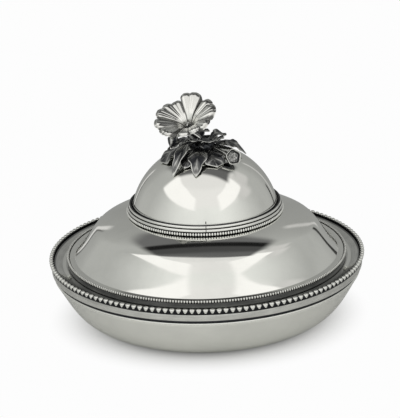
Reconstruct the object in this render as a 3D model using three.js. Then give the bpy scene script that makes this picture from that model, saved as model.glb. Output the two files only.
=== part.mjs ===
// Covered vegetable dish in polished silver: a round bowl, a lift-out liner with a beaded rim, and
// a domed cover with a raised crown and a flower finial screwed on from inside.
// Millimetres, +Z up, origin on the table under the middle of the bowl. The viewer stands at -Y.

import * as THREE from 'three';
import { mergeVertices } from 'three/addons/utils/BufferGeometryUtils.js';

// Bowl
const mouthRadius = 126.0;
const footRadius = 64.7;
const bowlHeight = 40.4;
const bowlWall = 1.5;
const bowlHandles = { shoulder: [0.77, 0.43], belly: [0.724, 0] };
const lipWireRadius = 0.95;

// Liner: an inner dish whose collar stands on the bowl's lip
const linerWall = 1.3;
const linerFloorGap = 2.3;
const linerFootInset = 6.0;
const linerNeck = 8.0;
const collarOverhang = 1.6;
const collarSheet = 1.4;
const collarHeight = 6.4;
const collarFootDrop = 1.1;
const rimBeadRadius = 2.3;
const rimBeadNeck = 1.35;
const rimBeadCount = 152;
const grooveDepth = 0.4;
const borderDip = 2.2;
const borderWidth = 10.0;

// Cover
const seatWidth = 4.9;
const edgeHeight = 3.7;
const coverBeadRadius = 1.1;
const coverWall = 1.3;
const ledgeWidth = 4.5;
const coverRise = 35.2;
const coverHandles = { foot: [0.473, 0.733], shoulder: [0.765, 0.574] };
const bezelWall = 1.3;
const bezelDepth = 6.0;
const bezelClearance = 0.7;

// Crown: the raised dome in the middle of the cover
const crownRadius = 60.7;
const crownRise = 61.2;
const crownSink = 6.8;
const crownWall = 1.3;
const crownTurnIn = 2.3;
const crownLedge = 4.4;
const mountFoot = 3.9;
const mountHeight = 8.8;
const reedRadius = 1.3;
const dishSteps = 48;
const crownSteps = 36;

// Finial
const hubRadius = 9.0;
const hubHeight = 2.6;
const hubCapRadius = 6.0;
const hubCapHeight = 3.4;
const studRadius = 2.0;
const studBelow = 9.0;
const washerRadius = 7.5;
const washerThickness = 1.0;
const nutAcross = 9.0;
const nutThickness = 4.0;
const leafThickness = 1.1;
const leafReach = 40;
const leafBreadth = 20;
const leafRise = 10;
const leafWave = 1.1;
const leafRootHalf = 1.35;
const petalLength = 28.0;
const petalShares = [0.971, 1, 1.018, 0.839, 1.036];
const petalThickness = 1.0;
const petalRootAngle = 27.5;
const petalTipAngle = 41;
const petalTwist = 1.25;
const petalRib = 0.4;
const petalCone = 65;
const bloomLean = -11.2;
const bloomTilt = 27.6;
const bloomTurn = 53.5;
const bloomOut = 11.2;
const bloomFront = 4.0;
const bloomLift = 14.0;
const throatRadius = 2.8;
const calyxRadius = 5.2;
const calyxLength = 6.5;
const stemRadius = 2.2;
const podRadius = 6.3;
const podWall = 1.0;
const podDepth = 7.0;
const budRadius = 4.2;
const budLength = 12.0;
const twigRadius = 1.1;
const eyeRadius = 2.0;
const eyeLength = 6.4;
const budOut = 22.2;
const budFront = 2.0;
const budHang = 6.9;
const budAxis = [0.35, 0.31, 0.88];
const budTwigAngle = 155;
const podOut = 24.4;
const podFront = 24.0;
const podLift = 9.3;
const podAxis = [0.35, -0.85, 0.4];
const podTwigAngle = -36;
const twigBend = 1.6;

// Clearances: seatGap where pieces lift apart, joinGap where they are soldered
const seatGap = 0.3;
const joinGap = 0.2;
const fitGap = 0.3;

const lerp = THREE.MathUtils.lerp;
const radians = THREE.MathUtils.degToRad;
const polished = { color: 0xc9ccc5, roughness: 0.12, metalness: 1 };
const bright = { color: 0xd9dbd5, roughness: 0.16, metalness: 1 };
const oxidised = { color: 0x75786f, roughness: 0.34, metalness: 1 };
const plainBrass = { color: 0xb49a5a, roughness: 0.35, metalness: 1 };

const part = new THREE.Group();

function addPiece(parent, name, geometry, finish) {
  const mesh = new THREE.Mesh(geometry, new THREE.MeshStandardMaterial(finish));
  mesh.name = name;
  parent.add(mesh);
  return mesh;
}

// Turns the faces of a closed body outward, by the sign of its volume
function facingOut(geometry) {
  const place = geometry.attributes.position;
  const index = geometry.index.array;
  const corner = [new THREE.Vector3(), new THREE.Vector3(), new THREE.Vector3()];
  let volume = 0;
  for (let i = 0; i < index.length; i += 3) {
    corner.forEach((point, k) => point.fromBufferAttribute(place, index[i + k]));
    volume += corner[0].dot(corner[1].clone().cross(corner[2]));
  }
  if (volume < 0) {
    for (let i = 0; i < index.length; i += 3) {
      [index[i], index[i + 1]] = [index[i + 1], index[i]];
    }
  }
  return geometry;
}

function bareGeometry(points, faces) {
  const geometry = new THREE.BufferGeometry();
  geometry.setAttribute('position', new THREE.Float32BufferAttribute(points, 3));
  geometry.setIndex(faces);
  return facingOut(geometry);
}

function merged(geometry) {
  const bare = geometry.clone();
  bare.deleteAttribute('normal');
  bare.deleteAttribute('uv');
  return mergeVertices(bare, 1e-4);
}

// A body turned round the Z axis from a profile of [radius, height] points
function turned(profile, steps) {
  const points = profile.map(([radius, height]) => new THREE.Vector2(radius, height));
  const lathe = new THREE.LatheGeometry(points, steps);
  return facingOut(merged(lathe.rotateX(Math.PI / 2)));
}

function turnedRing(section, steps) {
  return turned([...section, section[0]], steps);
}

// The outline moved to its left by a distance, with mitred corners
function offsetOutline(outline, distance) {
  return outline.map(([radius, height], i) => {
    const before = outline[Math.max(i - 1, 0)];
    const after = outline[Math.min(i + 1, outline.length - 1)];
    const into = new THREE.Vector2(radius - before[0], height - before[1]);
    const out = new THREE.Vector2(after[0] - radius, after[1] - height);
    const first = (i > 0 ? into : out).clone().normalize();
    const second = (i < outline.length - 1 ? out : into).clone().normalize();
    const along = first.clone().add(second).normalize();
    const reach = distance / Math.max(along.dot(first), 0.5);
    return [radius === 0 ? 0 : radius - along.y * reach, height + along.x * reach];
  });
}

// A sheet of metal turned to an outline, its wall on the outline's left and its end cut level
function turnedSheet(outline, wall, steps) {
  const inside = offsetOutline(outline, wall);
  if (outline[0][0] === 0) {
    inside[inside.length - 1][1] = outline[outline.length - 1][1];
    return turned([...outline, ...inside.reverse()], steps);
  }
  return turnedRing([...outline, ...inside.reverse()], steps);
}

function curvePoints(start, first, second, end, count) {
  const corners = [start, first, second, end].map(([x, y]) => new THREE.Vector2(x, y));
  return new THREE.CubicBezierCurve(...corners).getPoints(count).map((point) => [point.x, point.y]);
}

// The swelling curve from a flat foot to a mouth; handles are shares of its width and height
function bowlCurve(foot, mouth, handles, count) {
  const at = ([across, up]) => [lerp(foot[0], mouth[0], across), lerp(foot[1], mouth[1], up)];
  return curvePoints(foot, at(handles.belly), at(handles.shoulder), mouth, count);
}

function wireSection(radius, height, thickness, sides = 6) {
  return Array.from({ length: sides }, (_, i) => {
    const angle = 2 * Math.PI * i / sides;
    return [radius + thickness * Math.cos(angle), height + thickness * Math.sin(angle)];
  });
}

// A wire of round beads: rings of the bead's girth alternate with rings of its neck
function beadedWire(radius, height, bead, neck, count) {
  const sides = 4;
  const rings = 2 * count;
  const points = [];
  const faces = [];
  for (let i = 0; i < rings; i += 1) {
    const angle = 2 * Math.PI * i / rings;
    const girth = i % 2 === 0 ? bead : neck;
    for (let j = 0; j < sides; j += 1) {
      const side = 2 * Math.PI * j / sides;
      const reach = radius + girth * Math.cos(side);
      points.push(reach * Math.cos(angle), reach * Math.sin(angle), height + girth * Math.sin(side));
      const here = i * sides + j;
      const beside = i * sides + (j + 1) % sides;
      const next = (here + sides) % (rings * sides);
      const nextBeside = (beside + sides) % (rings * sides);
      faces.push(here, next, nextBeside, here, nextBeside, beside);
    }
  }
  return bareGeometry(points, faces);
}

// A thin blade: surface(across, along) gives its middle, across from -1 to 1, along from 0 to 1
function blade(surface, columns, rows, thickness) {
  const normalAt = (across, along) => {
    const step = 0.02;
    const side = surface(across + step, along).sub(surface(across - step, along));
    const length = surface(across, along + step).sub(surface(across, along - step));
    return side.cross(length).normalize();
  };
  const points = [];
  const faces = [];
  const stride = columns + 1;
  const layer = stride * (rows + 1);
  for (const half of [thickness / 2, -thickness / 2]) {
    for (let j = 0; j <= rows; j += 1) {
      for (let i = 0; i <= columns; i += 1) {
        const across = 2 * i / columns - 1;
        const along = j / rows;
        const point = surface(across, along).addScaledVector(normalAt(across, along), half);
        points.push(point.x, point.y, point.z);
      }
    }
  }
  const wall = (a, b) => faces.push(a, a + layer, b, b, a + layer, b + layer);
  for (let j = 0; j < rows; j += 1) {
    for (let i = 0; i < columns; i += 1) {
      const a = j * stride + i;
      const b = a + 1;
      const c = a + stride;
      const d = c + 1;
      faces.push(a, b, c, b, d, c);
      faces.push(a + layer, c + layer, b + layer, b + layer, c + layer, d + layer);
    }
    wall((j + 1) * stride, j * stride);
    wall(j * stride + columns, (j + 1) * stride + columns);
  }
  for (let i = 0; i < columns; i += 1) {
    wall(i, i + 1);
    wall(rows * stride + i + 1, rows * stride + i);
  }
  return bareGeometry(points, faces);
}

// A round rod along a curve through points
function rod(points, radius, steps) {
  const path = new THREE.CatmullRomCurve3(points.map((point) => new THREE.Vector3(...point)));
  const section = new THREE.Shape();
  const sides = 7;
  for (let i = 0; i < sides; i += 1) {
    const angle = 2 * Math.PI * i / sides;
    section[i ? 'lineTo' : 'moveTo'](radius * Math.cos(angle), radius * Math.sin(angle));
  }
  section.closePath();
  const settings = { steps, bevelEnabled: false, extrudePath: path };
  return facingOut(merged(new THREE.ExtrudeGeometry(section, settings)));
}

// Bowl
const lipWireHeight = bowlHeight + joinGap + lipWireRadius * Math.sin(Math.PI / 3);
const lipTop = lipWireHeight + lipWireRadius * Math.sin(Math.PI / 3);
const bowlOutline = [
  [0, 0],
  ...bowlCurve([footRadius, 0], [mouthRadius, bowlHeight], bowlHandles, 6),
];

function addBowl() {
  const wireRadius = mouthRadius - bowlWall / 2;
  addPiece(part, 'bowl', turnedSheet(bowlOutline, bowlWall, dishSteps), polished);
  const lip = turnedRing(wireSection(wireRadius, lipWireHeight, lipWireRadius), dishSteps);
  addPiece(part, 'bowl_lip_wire', lip, bright);
}

// Liner
const collarFoot = lipTop + seatGap;
const bandBottom = collarFoot + collarFootDrop;
const collarTop = bandBottom + collarHeight;
const collarRadius = mouthRadius + collarOverhang;
const rimPlane = collarTop + joinGap + rimBeadRadius;
const rimWireRadius = collarRadius + joinGap;
const borderEdge = rimWireRadius - rimBeadRadius - joinGap;
const borderTop = rimPlane - grooveDepth;
const seatHeight = borderTop - borderDip;
const linerMouth = borderEdge - borderWidth - seatWidth;
const linerOutside = linerMouth + linerWall;
const linerFloor = bowlWall + linerFloorGap;
const linerOutline = [
  [0, linerFloor],
  ...bowlCurve(
    [footRadius - linerFootInset, linerFloor],
    [linerOutside, seatHeight - linerNeck],
    bowlHandles,
    5,
  ),
  [linerOutside, seatHeight - linerWall],
];

function linerProfile() {
  const border = curvePoints(
    [borderEdge - borderWidth, seatHeight],
    [borderEdge - borderWidth * 0.55, seatHeight - borderDip * 0.25],
    [borderEdge - borderWidth * 0.2, borderTop - borderDip * 0.55],
    [borderEdge, borderTop],
    3,
  );
  const under = offsetOutline(border, -linerWall);
  const inside = offsetOutline(linerOutline, linerWall);
  inside[inside.length - 1] = [linerMouth, seatHeight];
  return [...linerOutline, ...under, ...border.reverse(), ...inside.reverse()];
}

function collarSection() {
  const inner = collarRadius - collarSheet;
  const footOuter = mouthRadius - bowlWall / 2 + lipWireRadius / 2;
  return [
    [collarRadius, collarTop],
    [collarRadius, bandBottom],
    [footOuter, bandBottom],
    [footOuter, collarFoot],
    [footOuter - 2 * collarSheet, collarFoot],
    [inner, bandBottom + collarSheet],
    [inner, collarTop - collarSheet],
    [inner - collarSheet, collarTop],
  ];
}

function addLiner() {
  addPiece(part, 'liner', turned(linerProfile(), dishSteps), polished);
  addPiece(part, 'liner_collar', turnedRing(collarSection(), dishSteps), polished);
  const wire = beadedWire(rimWireRadius, rimPlane, rimBeadRadius, rimBeadNeck, rimBeadCount);
  addPiece(part, 'rim_bead_wire', wire, bright);
}

// Cover
const edgeInner = linerMouth - bezelClearance + joinGap;
const edgeOuter = linerMouth + seatWidth - bezelClearance;
const edgeFoot = seatHeight + seatGap;
const edgeTop = edgeFoot + edgeHeight;
const brimTop = edgeTop + joinGap + coverWall;
const brimRadius = edgeOuter - 2 * coverBeadRadius + joinGap;
const domeFoot = brimRadius - ledgeWidth;
const shoulderTop = brimTop + coverRise;
const crownWallRadius = crownRadius - crownTurnIn;
const ledgeRadius = crownWallRadius + mountFoot + reedRadius;
const coverHole = crownWallRadius - crownLedge;

function coverOutline() {
  const at = ([across, up]) => [lerp(ledgeRadius, domeFoot, across), lerp(brimTop, shoulderTop, up)];
  const dome = curvePoints(
    [domeFoot, brimTop],
    at(coverHandles.foot),
    at(coverHandles.shoulder),
    [ledgeRadius, shoulderTop],
    7,
  );
  return [[brimRadius, brimTop], ...dome, [coverHole, shoulderTop]];
}

function addCover() {
  addPiece(part, 'cover_dome', turnedSheet(coverOutline(), coverWall, dishSteps), polished);
  const edge = [
    [edgeInner, edgeFoot],
    [edgeOuter, edgeFoot],
    [edgeOuter, edgeTop],
    [edgeInner, edgeTop],
  ];
  addPiece(part, 'cover_edge_ring', turnedRing(edge, dishSteps), polished);
  const bezelOuter = linerMouth - bezelClearance;
  const bezel = [
    [bezelOuter - bezelWall, edgeFoot - bezelDepth],
    [bezelOuter, edgeFoot - bezelDepth],
    [bezelOuter, edgeTop],
    [bezelOuter - bezelWall, edgeTop],
  ];
  addPiece(part, 'cover_bezel', turnedRing(bezel, dishSteps), polished);
  const beads = wireSection(brimRadius + joinGap + coverBeadRadius, brimTop, coverBeadRadius);
  addPiece(part, 'cover_bead_wire', turnedRing(beads, dishSteps), bright);
}

// Crown
const crownFoot = shoulderTop + joinGap;
const crownCentre = shoulderTop - crownSink;
const crownTop = crownCentre + crownRise;

// Height of the crown's outside at a distance from its axis
function crownHeightAt(radius) {
  return crownCentre + crownRise * Math.sqrt(1 - Math.min(radius / crownRadius, 0.999) ** 2);
}

function crownOutline() {
  const rows = 6;
  const start = Math.acos(crownWallRadius / crownRadius);
  const end = Math.acos((studRadius + fitGap) / crownRadius);
  const outline = [[crownWallRadius, crownFoot]];
  for (let i = 0; i <= rows; i += 1) {
    const angle = lerp(start, end, i / rows);
    outline.push([crownRadius * Math.cos(angle), crownCentre + crownRise * Math.sin(angle)]);
  }
  return outline;
}

// The sloping mount at the crown's foot, and the place of a wire on its face
const mountInner = crownWallRadius + joinGap;
const mountOuter = crownWallRadius + mountFoot;
const mountRim = mountInner + joinGap;

function onMount(along, thickness) {
  const face = new THREE.Vector2(mountRim - mountOuter, mountHeight).normalize();
  return [
    mountOuter + face.x * along + face.y * (thickness + joinGap),
    crownFoot + face.y * along - face.x * (thickness + joinGap),
  ];
}

function addCrown() {
  addPiece(part, 'crown_dome', turnedSheet(crownOutline(), crownWall, crownSteps), polished);
  const mount = [
    [mountInner, crownFoot],
    [mountOuter, crownFoot],
    [mountRim, crownFoot + mountHeight],
    [mountInner, crownFoot + mountHeight],
  ];
  addPiece(part, 'crown_mount', turnedRing(mount, crownSteps), polished);
  ['crown_bead_wire', 'crown_reed_lower', 'crown_reed_upper'].forEach((name, i) => {
    const along = reedRadius + i * (2 * reedRadius + joinGap);
    const section = wireSection(...onMount(along, reedRadius), reedRadius);
    addPiece(part, name, turnedRing(section, crownSteps), bright);
  });
}

// Finial hub, and the stud, washer and nut that hold it through the crown
const hubFoot = crownTop + fitGap;
const hubTop = hubFoot + hubHeight;
const hubCapTop = hubTop + hubCapHeight;

function addFasteners() {
  const hub = [
    [0, hubFoot],
    [hubRadius, hubFoot],
    [hubRadius, hubTop],
    [hubCapRadius, hubTop],
    [hubCapRadius, hubCapTop],
    [0, hubCapTop],
  ];
  addPiece(part, 'finial_hub', turned(hub, 20), oxidised);
  const stud = [
    [0, hubFoot - studBelow - crownWall],
    [studRadius, hubFoot - studBelow - crownWall],
    [studRadius, hubFoot],
    [0, hubFoot],
  ];
  addPiece(part, 'finial_stud', turned(stud, 12), plainBrass);
  const washerTop = crownHeightAt(washerRadius) - crownWall - 2 * fitGap;
  const bore = studRadius + fitGap;
  const washer = [
    [bore, washerTop - washerThickness],
    [washerRadius, washerTop - washerThickness],
    [washerRadius, washerTop],
    [bore, washerTop],
  ];
  addPiece(part, 'finial_washer', turnedRing(washer, 20), plainBrass);
  addPiece(part, 'finial_nut', squareNut(bore, washerTop - washerThickness - nutThickness), plainBrass);
}

function squareNut(bore, height) {
  const shape = new THREE.Shape();
  const half = nutAcross / 2;
  shape.moveTo(-half, -half);
  shape.lineTo(half, -half);
  shape.lineTo(half, half);
  shape.lineTo(-half, half);
  shape.closePath();
  shape.holes.push(new THREE.Path().absarc(0, 0, bore, 0, 2 * Math.PI, true));
  const settings = { depth: nutThickness, bevelEnabled: false, curveSegments: 8 };
  return facingOut(merged(new THREE.ExtrudeGeometry(shape, settings).translate(0, 0, height)));
}

// Leaves lie over the crown: turn is the compass angle of the stalk and bend how far the midrib
// swings from it. Reach, width and wave are shares of the largest, and lift the midrib's height
// above the crown at the root, middle and tip, in shares of leafRise
const leaves = [
  { name: 'leaf_left', turn: 188, bend: 2, reach: 0.9, width: 1,
    lift: [0.16, 0.36, 0.16], fold: 0, wave: 1 },
  { name: 'leaf_front_left', turn: 238, bend: 4, reach: 0.825, width: 0.6,
    lift: [0.16, 0.34, 0.2], fold: 0, wave: 0.55 },
  { name: 'leaf_front', turn: 260, bend: 0, reach: 0.963, width: 0.55,
    lift: [0.16, 0.62, 0.16], fold: 0.25, wave: 0.36 },
  { name: 'leaf_front_right', turn: 286, bend: 4, reach: 0.8, width: 0.8,
    lift: [0.16, 0.34, 0.16], fold: 0, wave: 0.82 },
  { name: 'leaf_right', turn: 3, bend: -2, reach: 0.863, width: 0.7,
    lift: [0.16, 0.68, 0.36], fold: 0.1, wave: 0.55 },
  { name: 'leaf_back_right', turn: 44, bend: 4, reach: 0.875, width: 0.9,
    lift: [0.16, 0.34, 0.16], fold: 0, wave: 0.82 },
  { name: 'leaf_back', turn: 90, bend: -4, reach: 0.925, width: 0.95,
    lift: [0.16, 0.64, 0.16], fold: 0.1, wave: 0.82 },
  { name: 'leaf_back_left', turn: 136, bend: 0, reach: 0.875, width: 1,
    lift: [0.16, 0.34, 0.16], fold: 0, wave: 0.82 },
];
const upperLeaves = [
  { name: 'leaf_upper_left', turn: 195, bend: 6, reach: 0.65, width: 0.45,
    lift: [0, 0.76, 0.68], fold: 0.1, wave: 0.55 },
  { name: 'leaf_curled', turn: 227, bend: 4, reach: 1, width: 0.35,
    lift: [0, 0.92, 0.18], fold: 0.3, wave: 0.36 },
  { name: 'leaf_rising_left', turn: 253, bend: -12, reach: 0.475, width: 0.4,
    lift: [0, 1.1, 1.35], fold: 0.1, wave: 0.45 },
  { name: 'leaf_rising_right', turn: 290, bend: -2, reach: 0.45, width: 0.45,
    lift: [0, 0.9, 1.2], fold: 0.2, wave: 0.36 },
  { name: 'leaf_upper_right', turn: 334, bend: 6, reach: 0.45, width: 0.45,
    lift: [0, 0.85, 1.15], fold: 0.3, wave: 0.36 },
  { name: 'leaf_upper_back_right', turn: 30, bend: 0, reach: 0.525, width: 0.6,
    lift: [0, 1.05, 0.95], fold: 0.2, wave: 0.55 },
  { name: 'leaf_upper_back', turn: 106, bend: -6, reach: 0.625, width: 0.75,
    lift: [0, 1.05, 0.95], fold: 0.1, wave: 0.73 },
];

// Share of the leaf's full half width at a place along it: a stalk, a broad blade and a point
function leafOutline(along) {
  return Math.sin(Math.PI * Math.min(Math.max(along, 0), 1) ** 1.4);
}

function leafSurface(leaf, rootRadius, rootLift) {
  const [root, crest, tip] = leaf.lift.map((share) => share * leafRise);
  const rootHeight = rootLift + root;
  const arch = crest - (rootHeight + tip) / 2;
  return (across, along) => {
    const turn = radians(leaf.turn + leaf.bend * along);
    const width = leafBreadth * leaf.width * leafOutline(along);
    const half = lerp(leafRootHalf, leafRootHalf * 0.4, along) + width / 2;
    const reach = lerp(rootRadius, leafReach * leaf.reach, along);
    const x = reach * Math.cos(turn) - across * half * Math.sin(turn);
    const y = reach * Math.sin(turn) + across * half * Math.cos(turn);
    const middle = lerp(rootHeight, tip, along) + arch * Math.sin(Math.PI * along);
    const ripple = leafWave * leaf.wave * Math.sin(3.5 * Math.PI * along + across) * across ** 2;
    const edge = leaf.fold * Math.abs(across) * half + ripple * leafOutline(along);
    return new THREE.Vector3(x, y, crownHeightAt(Math.hypot(x, y)) + middle + edge);
  };
}

function addLeaves() {
  for (const leaf of leaves) {
    const surface = leafSurface(leaf, hubRadius + fitGap, 0);
    addPiece(part, leaf.name, blade(surface, 4, 5, leafThickness), oxidised);
  }
  const capLift = hubTop + hubCapHeight / 2 - crownHeightAt(hubCapRadius);
  for (const leaf of upperLeaves) {
    const surface = leafSurface(leaf, hubCapRadius + 2 * fitGap, capLift);
    addPiece(part, leaf.name, blade(surface, 4, 5, leafThickness), oxidised);
  }
}

// A frame with its Z axis along a direction, standing at a point
function standing(place, direction) {
  const group = new THREE.Group();
  const up = new THREE.Vector3(...direction).normalize();
  const right = new THREE.Vector3(0, 1, 0).cross(up).normalize();
  const back = up.clone().cross(right);
  group.quaternion.setFromRotationMatrix(new THREE.Matrix4().makeBasis(right, back, up));
  group.position.set(...place);
  part.add(group);
  return group;
}

// Bloom: petals round a throat, on a calyx and a bent stem
const lean = radians(bloomLean);
const tilt = radians(bloomTilt);
const bloomAxis = [Math.sin(lean), -Math.sin(tilt) * Math.cos(lean), Math.cos(tilt) * Math.cos(lean)];
const throat = [-bloomOut, -bloomFront, hubCapTop + bloomLift];
const eyeFoot = -petalThickness * 0.8;

function alongBloom(distance) {
  return throat.map((value, i) => value + bloomAxis[i] * distance);
}

function petalSurface(turn, length) {
  const bloomReach = length * Math.sin(radians(petalCone));
  const bloomDepth = length * Math.cos(radians(petalCone));
  return (across, along) => {
    const spread = lerp(petalRootAngle, petalTipAngle, Math.min(along * 1.2, 1));
    const angle = turn + radians(spread) * across;
    const notch = 0.06 * Math.exp(-((across / 0.22) ** 2));
    const reach = bloomReach * (1.02 - 0.3 * across ** 4 - notch);
    const radius = lerp(throatRadius, reach, along);
    const share = Math.max(radius - throatRadius, 0) / (bloomReach - throatRadius);
    const rib = petalRib * along * Math.cos(3 * Math.PI * across);
    const height = bloomDepth * share ** 0.8 + rib + petalTwist * along * across;
    return new THREE.Vector3(radius * Math.cos(angle), radius * Math.sin(angle), height);
  };
}

function addBloom() {
  const bloom = standing(throat, bloomAxis);
  petalShares.forEach((share, i) => {
    const turn = radians(bloomTurn + i * 360 / petalShares.length);
    const surface = petalSurface(turn, petalLength * share);
    addPiece(bloom, `petal_${i + 1}`, blade(surface, 6, 4, petalThickness), bright);
  });
  const eye = [
    [0, eyeFoot],
    [eyeRadius * 0.75, eyeFoot],
    [eyeRadius * 0.6, eyeFoot + eyeLength * 0.5],
    [eyeRadius, eyeFoot + eyeLength * 0.72],
    [eyeRadius * 0.6, eyeFoot + eyeLength * 0.94],
    [0, eyeFoot + eyeLength],
  ];
  addPiece(bloom, 'bloom_eye', turned(eye, 10), oxidised);
  const calyx = [
    [0, -calyxLength],
    [stemRadius + joinGap, -calyxLength],
    [calyxRadius * 0.72, -calyxLength * 0.55],
    [calyxRadius, fitGap],
    [calyxRadius / 2, eyeFoot - fitGap],
    [0, eyeFoot - fitGap],
  ];
  addPiece(bloom, 'calyx', turned(calyx, 14), oxidised);
  const stemFoot = [-hubCapRadius + stemRadius + joinGap, 0, hubCapTop + fitGap];
  const stem = [
    stemFoot,
    [stemFoot[0], 0, stemFoot[2] + twigBend],
    alongBloom(-calyxLength - fitGap - twigBend),
    alongBloom(-calyxLength - fitGap),
  ];
  addPiece(part, 'bloom_stem', rod(stem, stemRadius, 8), oxidised);
}

// A closed bud hanging from a twig on the left, and an open seed pod on a twig on the right
function addBud() {
  const from = [-budOut, -budFront, hubCapTop + budHang];
  const frame = standing(from, budAxis);
  const bud = [
    [0, -budLength],
    [budRadius * 0.5, -budLength * 0.9],
    [budRadius, -budLength * 0.55],
    [budRadius * 0.7, -budLength * 0.16],
    [twigRadius, 0],
    [0, 0],
  ];
  addPiece(frame, 'bud_left', turned(bud, 10), oxidised);
  const hold = hubCapRadius + fitGap;
  const side = radians(budTwigAngle);
  const foot = [hold * Math.cos(side), hold * Math.sin(side), hubTop + hubCapHeight / 2];
  const twig = [
    foot,
    [foot[0] * 1.4, foot[1] * 1.4, foot[2]],
    [from[0] * 0.7, from[1] + 3.5 * twigBend, from[2] - twigRadius],
    [from[0] * 0.89, from[1] + twigBend, from[2] + twigBend],
    [from[0] + fitGap, from[1] + fitGap, from[2] + 3 * fitGap],
  ];
  addPiece(part, 'bud_left_twig', rod(twig, twigRadius, 10), oxidised);
}

function addPod() {
  const mouth = new THREE.Vector3(podOut, -podFront, crownHeightAt(Math.hypot(podOut, podFront)) + podLift);
  const direction = new THREE.Vector3(...podAxis).normalize();
  const frame = standing(mouth.toArray(), direction.toArray());
  const inner = podRadius - podWall;
  const pod = [
    [0, -podDepth],
    [podRadius * 0.62, -podDepth * 0.84],
    [podRadius * 0.95, -podDepth * 0.45],
    [podRadius, 0],
    [inner, 0],
    [inner * 0.93, -podDepth * 0.42],
    [inner * 0.6, -podDepth * 0.72],
    [0, podWall - podDepth],
  ];
  addPiece(frame, 'seed_pod', turned(pod, 14), oxidised);
  const end = mouth.clone().addScaledVector(direction, -podDepth - fitGap);
  const from = { reach: hubRadius + fitGap, turn: radians(podTwigAngle), height: hubTop - twigRadius };
  const to = { reach: Math.hypot(end.x, end.y), turn: Math.atan2(end.y, end.x), height: end.z };
  const overCrown = [from, to].map(({ reach, height }) => height - crownHeightAt(reach));
  const twig = [0, 0.2, 0.45, 0.7].map((share) => {
    const reach = lerp(from.reach, to.reach, share);
    const turn = lerp(from.turn, to.turn, share);
    const height = crownHeightAt(reach) + lerp(...overCrown, share);
    return [reach * Math.cos(turn), reach * Math.sin(turn), height];
  });
  twig.push(end.clone().addScaledVector(direction, -twigBend).toArray(), end.toArray());
  addPiece(part, 'seed_pod_twig', rod(twig, twigRadius, 7), oxidised);
}

addBowl();
addLiner();
addCover();
addCrown();
addFasteners();
addLeaves();
addBloom();
addBud();
addPod();

export default part;
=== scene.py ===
"""Covered vegetable dish in polished silver: the visible pieces, their finishes and the studio.

The pieces' sizes are in millimetres in this file, as a silversmith writes them, and turn into metres
when a mesh is made. The panel's values and the studio are in metres. The Z axis is the axis of the
bowl, and the viewer stands at -Y.
"""

import math

import bpy
import numpy as np
from bpy.props import FloatProperty, FloatVectorProperty, IntProperty, PointerProperty
from mathutils import Matrix, Vector


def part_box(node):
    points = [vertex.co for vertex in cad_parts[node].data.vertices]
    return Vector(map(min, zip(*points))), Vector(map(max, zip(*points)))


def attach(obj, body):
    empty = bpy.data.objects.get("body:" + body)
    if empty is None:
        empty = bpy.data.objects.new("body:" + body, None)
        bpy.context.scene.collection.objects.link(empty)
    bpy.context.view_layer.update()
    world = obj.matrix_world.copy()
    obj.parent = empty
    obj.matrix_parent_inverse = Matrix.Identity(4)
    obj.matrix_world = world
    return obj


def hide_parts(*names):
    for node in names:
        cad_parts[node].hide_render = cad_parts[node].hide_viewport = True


bl_info = {
    "name": "Covered vegetable dish",
    "version": (1, 0, 0),
    "blender": (4, 5, 0),
    "location": "3D View > Sidebar > Dish",
    "description": "Builds a covered silver dish with a beaded rim and a flower finial, and its studio",
    "category": "Object",
}

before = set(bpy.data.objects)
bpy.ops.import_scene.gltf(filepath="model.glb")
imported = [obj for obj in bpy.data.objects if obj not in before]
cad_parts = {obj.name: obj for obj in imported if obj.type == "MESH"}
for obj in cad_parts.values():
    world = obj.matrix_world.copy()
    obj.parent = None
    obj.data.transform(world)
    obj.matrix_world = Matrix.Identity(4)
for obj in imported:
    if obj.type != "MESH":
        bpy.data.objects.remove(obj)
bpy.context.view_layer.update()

MM = 0.001
SEED = 7
# A point nearer to the Z axis than this lies on it, in millimetres, and the least length that a
# direction is divided by
ON_AXIS, NO_LENGTH = 1e-6, 1e-9
# Corners that turn by less than this, in radians, stay as they are. The others take up to a share
# of the edges beside them, in a number of steps
SHARP_CORNER, CORNER_SHARE, CORNER_STEPS = math.radians(20), 0.45, 4
# How rubbed a solder joint is, and how much less the back of cast sheet is rubbed than its front
SOLDER_WEAR, BACK_WEAR = 0.12, 0.8
# Beads fade from bright to dark, as painted shade towards their sides, over a share of their half
# width. Sunk ones fade upward from painted shade below over another share, and keep a least brightness
BEAD_SIDE_SHADE_FADE, SUNK_SHADE_FADE, SUNK_SHADE_FLOOR = 0.28, 0.4, 0.22


def node_levels(node):
    """The lowest and the highest level of a solid of the frame, in millimetres."""
    low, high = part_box(node)
    return low[2] / MM, high[2] / MM


def node_reach(node):
    """How far a solid of the frame reaches along +X, in millimetres."""
    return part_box(node)[1][0] / MM


# Curves and sections


def lerp(start, end, share):
    return start + (end - start) * share


def smooth_step(value):
    value = np.clip(value, 0.0, 1.0)
    return value * value * (3 - 2 * value)


def bell(value, width):
    return np.exp(-((value / width) ** 2))


def bezier(start, first, second, end, count):
    t = np.linspace(0, 1, count)[:, None]
    start, first, second, end = (np.array(p, float) for p in (start, first, second, end))
    return (
        (1 - t) ** 3 * start
        + 3 * (1 - t) ** 2 * t * first
        + 3 * (1 - t) * t * t * second
        + t ** 3 * end
    )


def bowl_curve(foot, mouth, belly, shoulder, count):
    """The swelling curve from a flat foot to a mouth; handles are shares of width and height."""
    def at(share):
        return (lerp(foot[0], mouth[0], share[0]), lerp(foot[1], mouth[1], share[1]))

    return bezier(foot, at(belly), at(shoulder), mouth, count)


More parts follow.
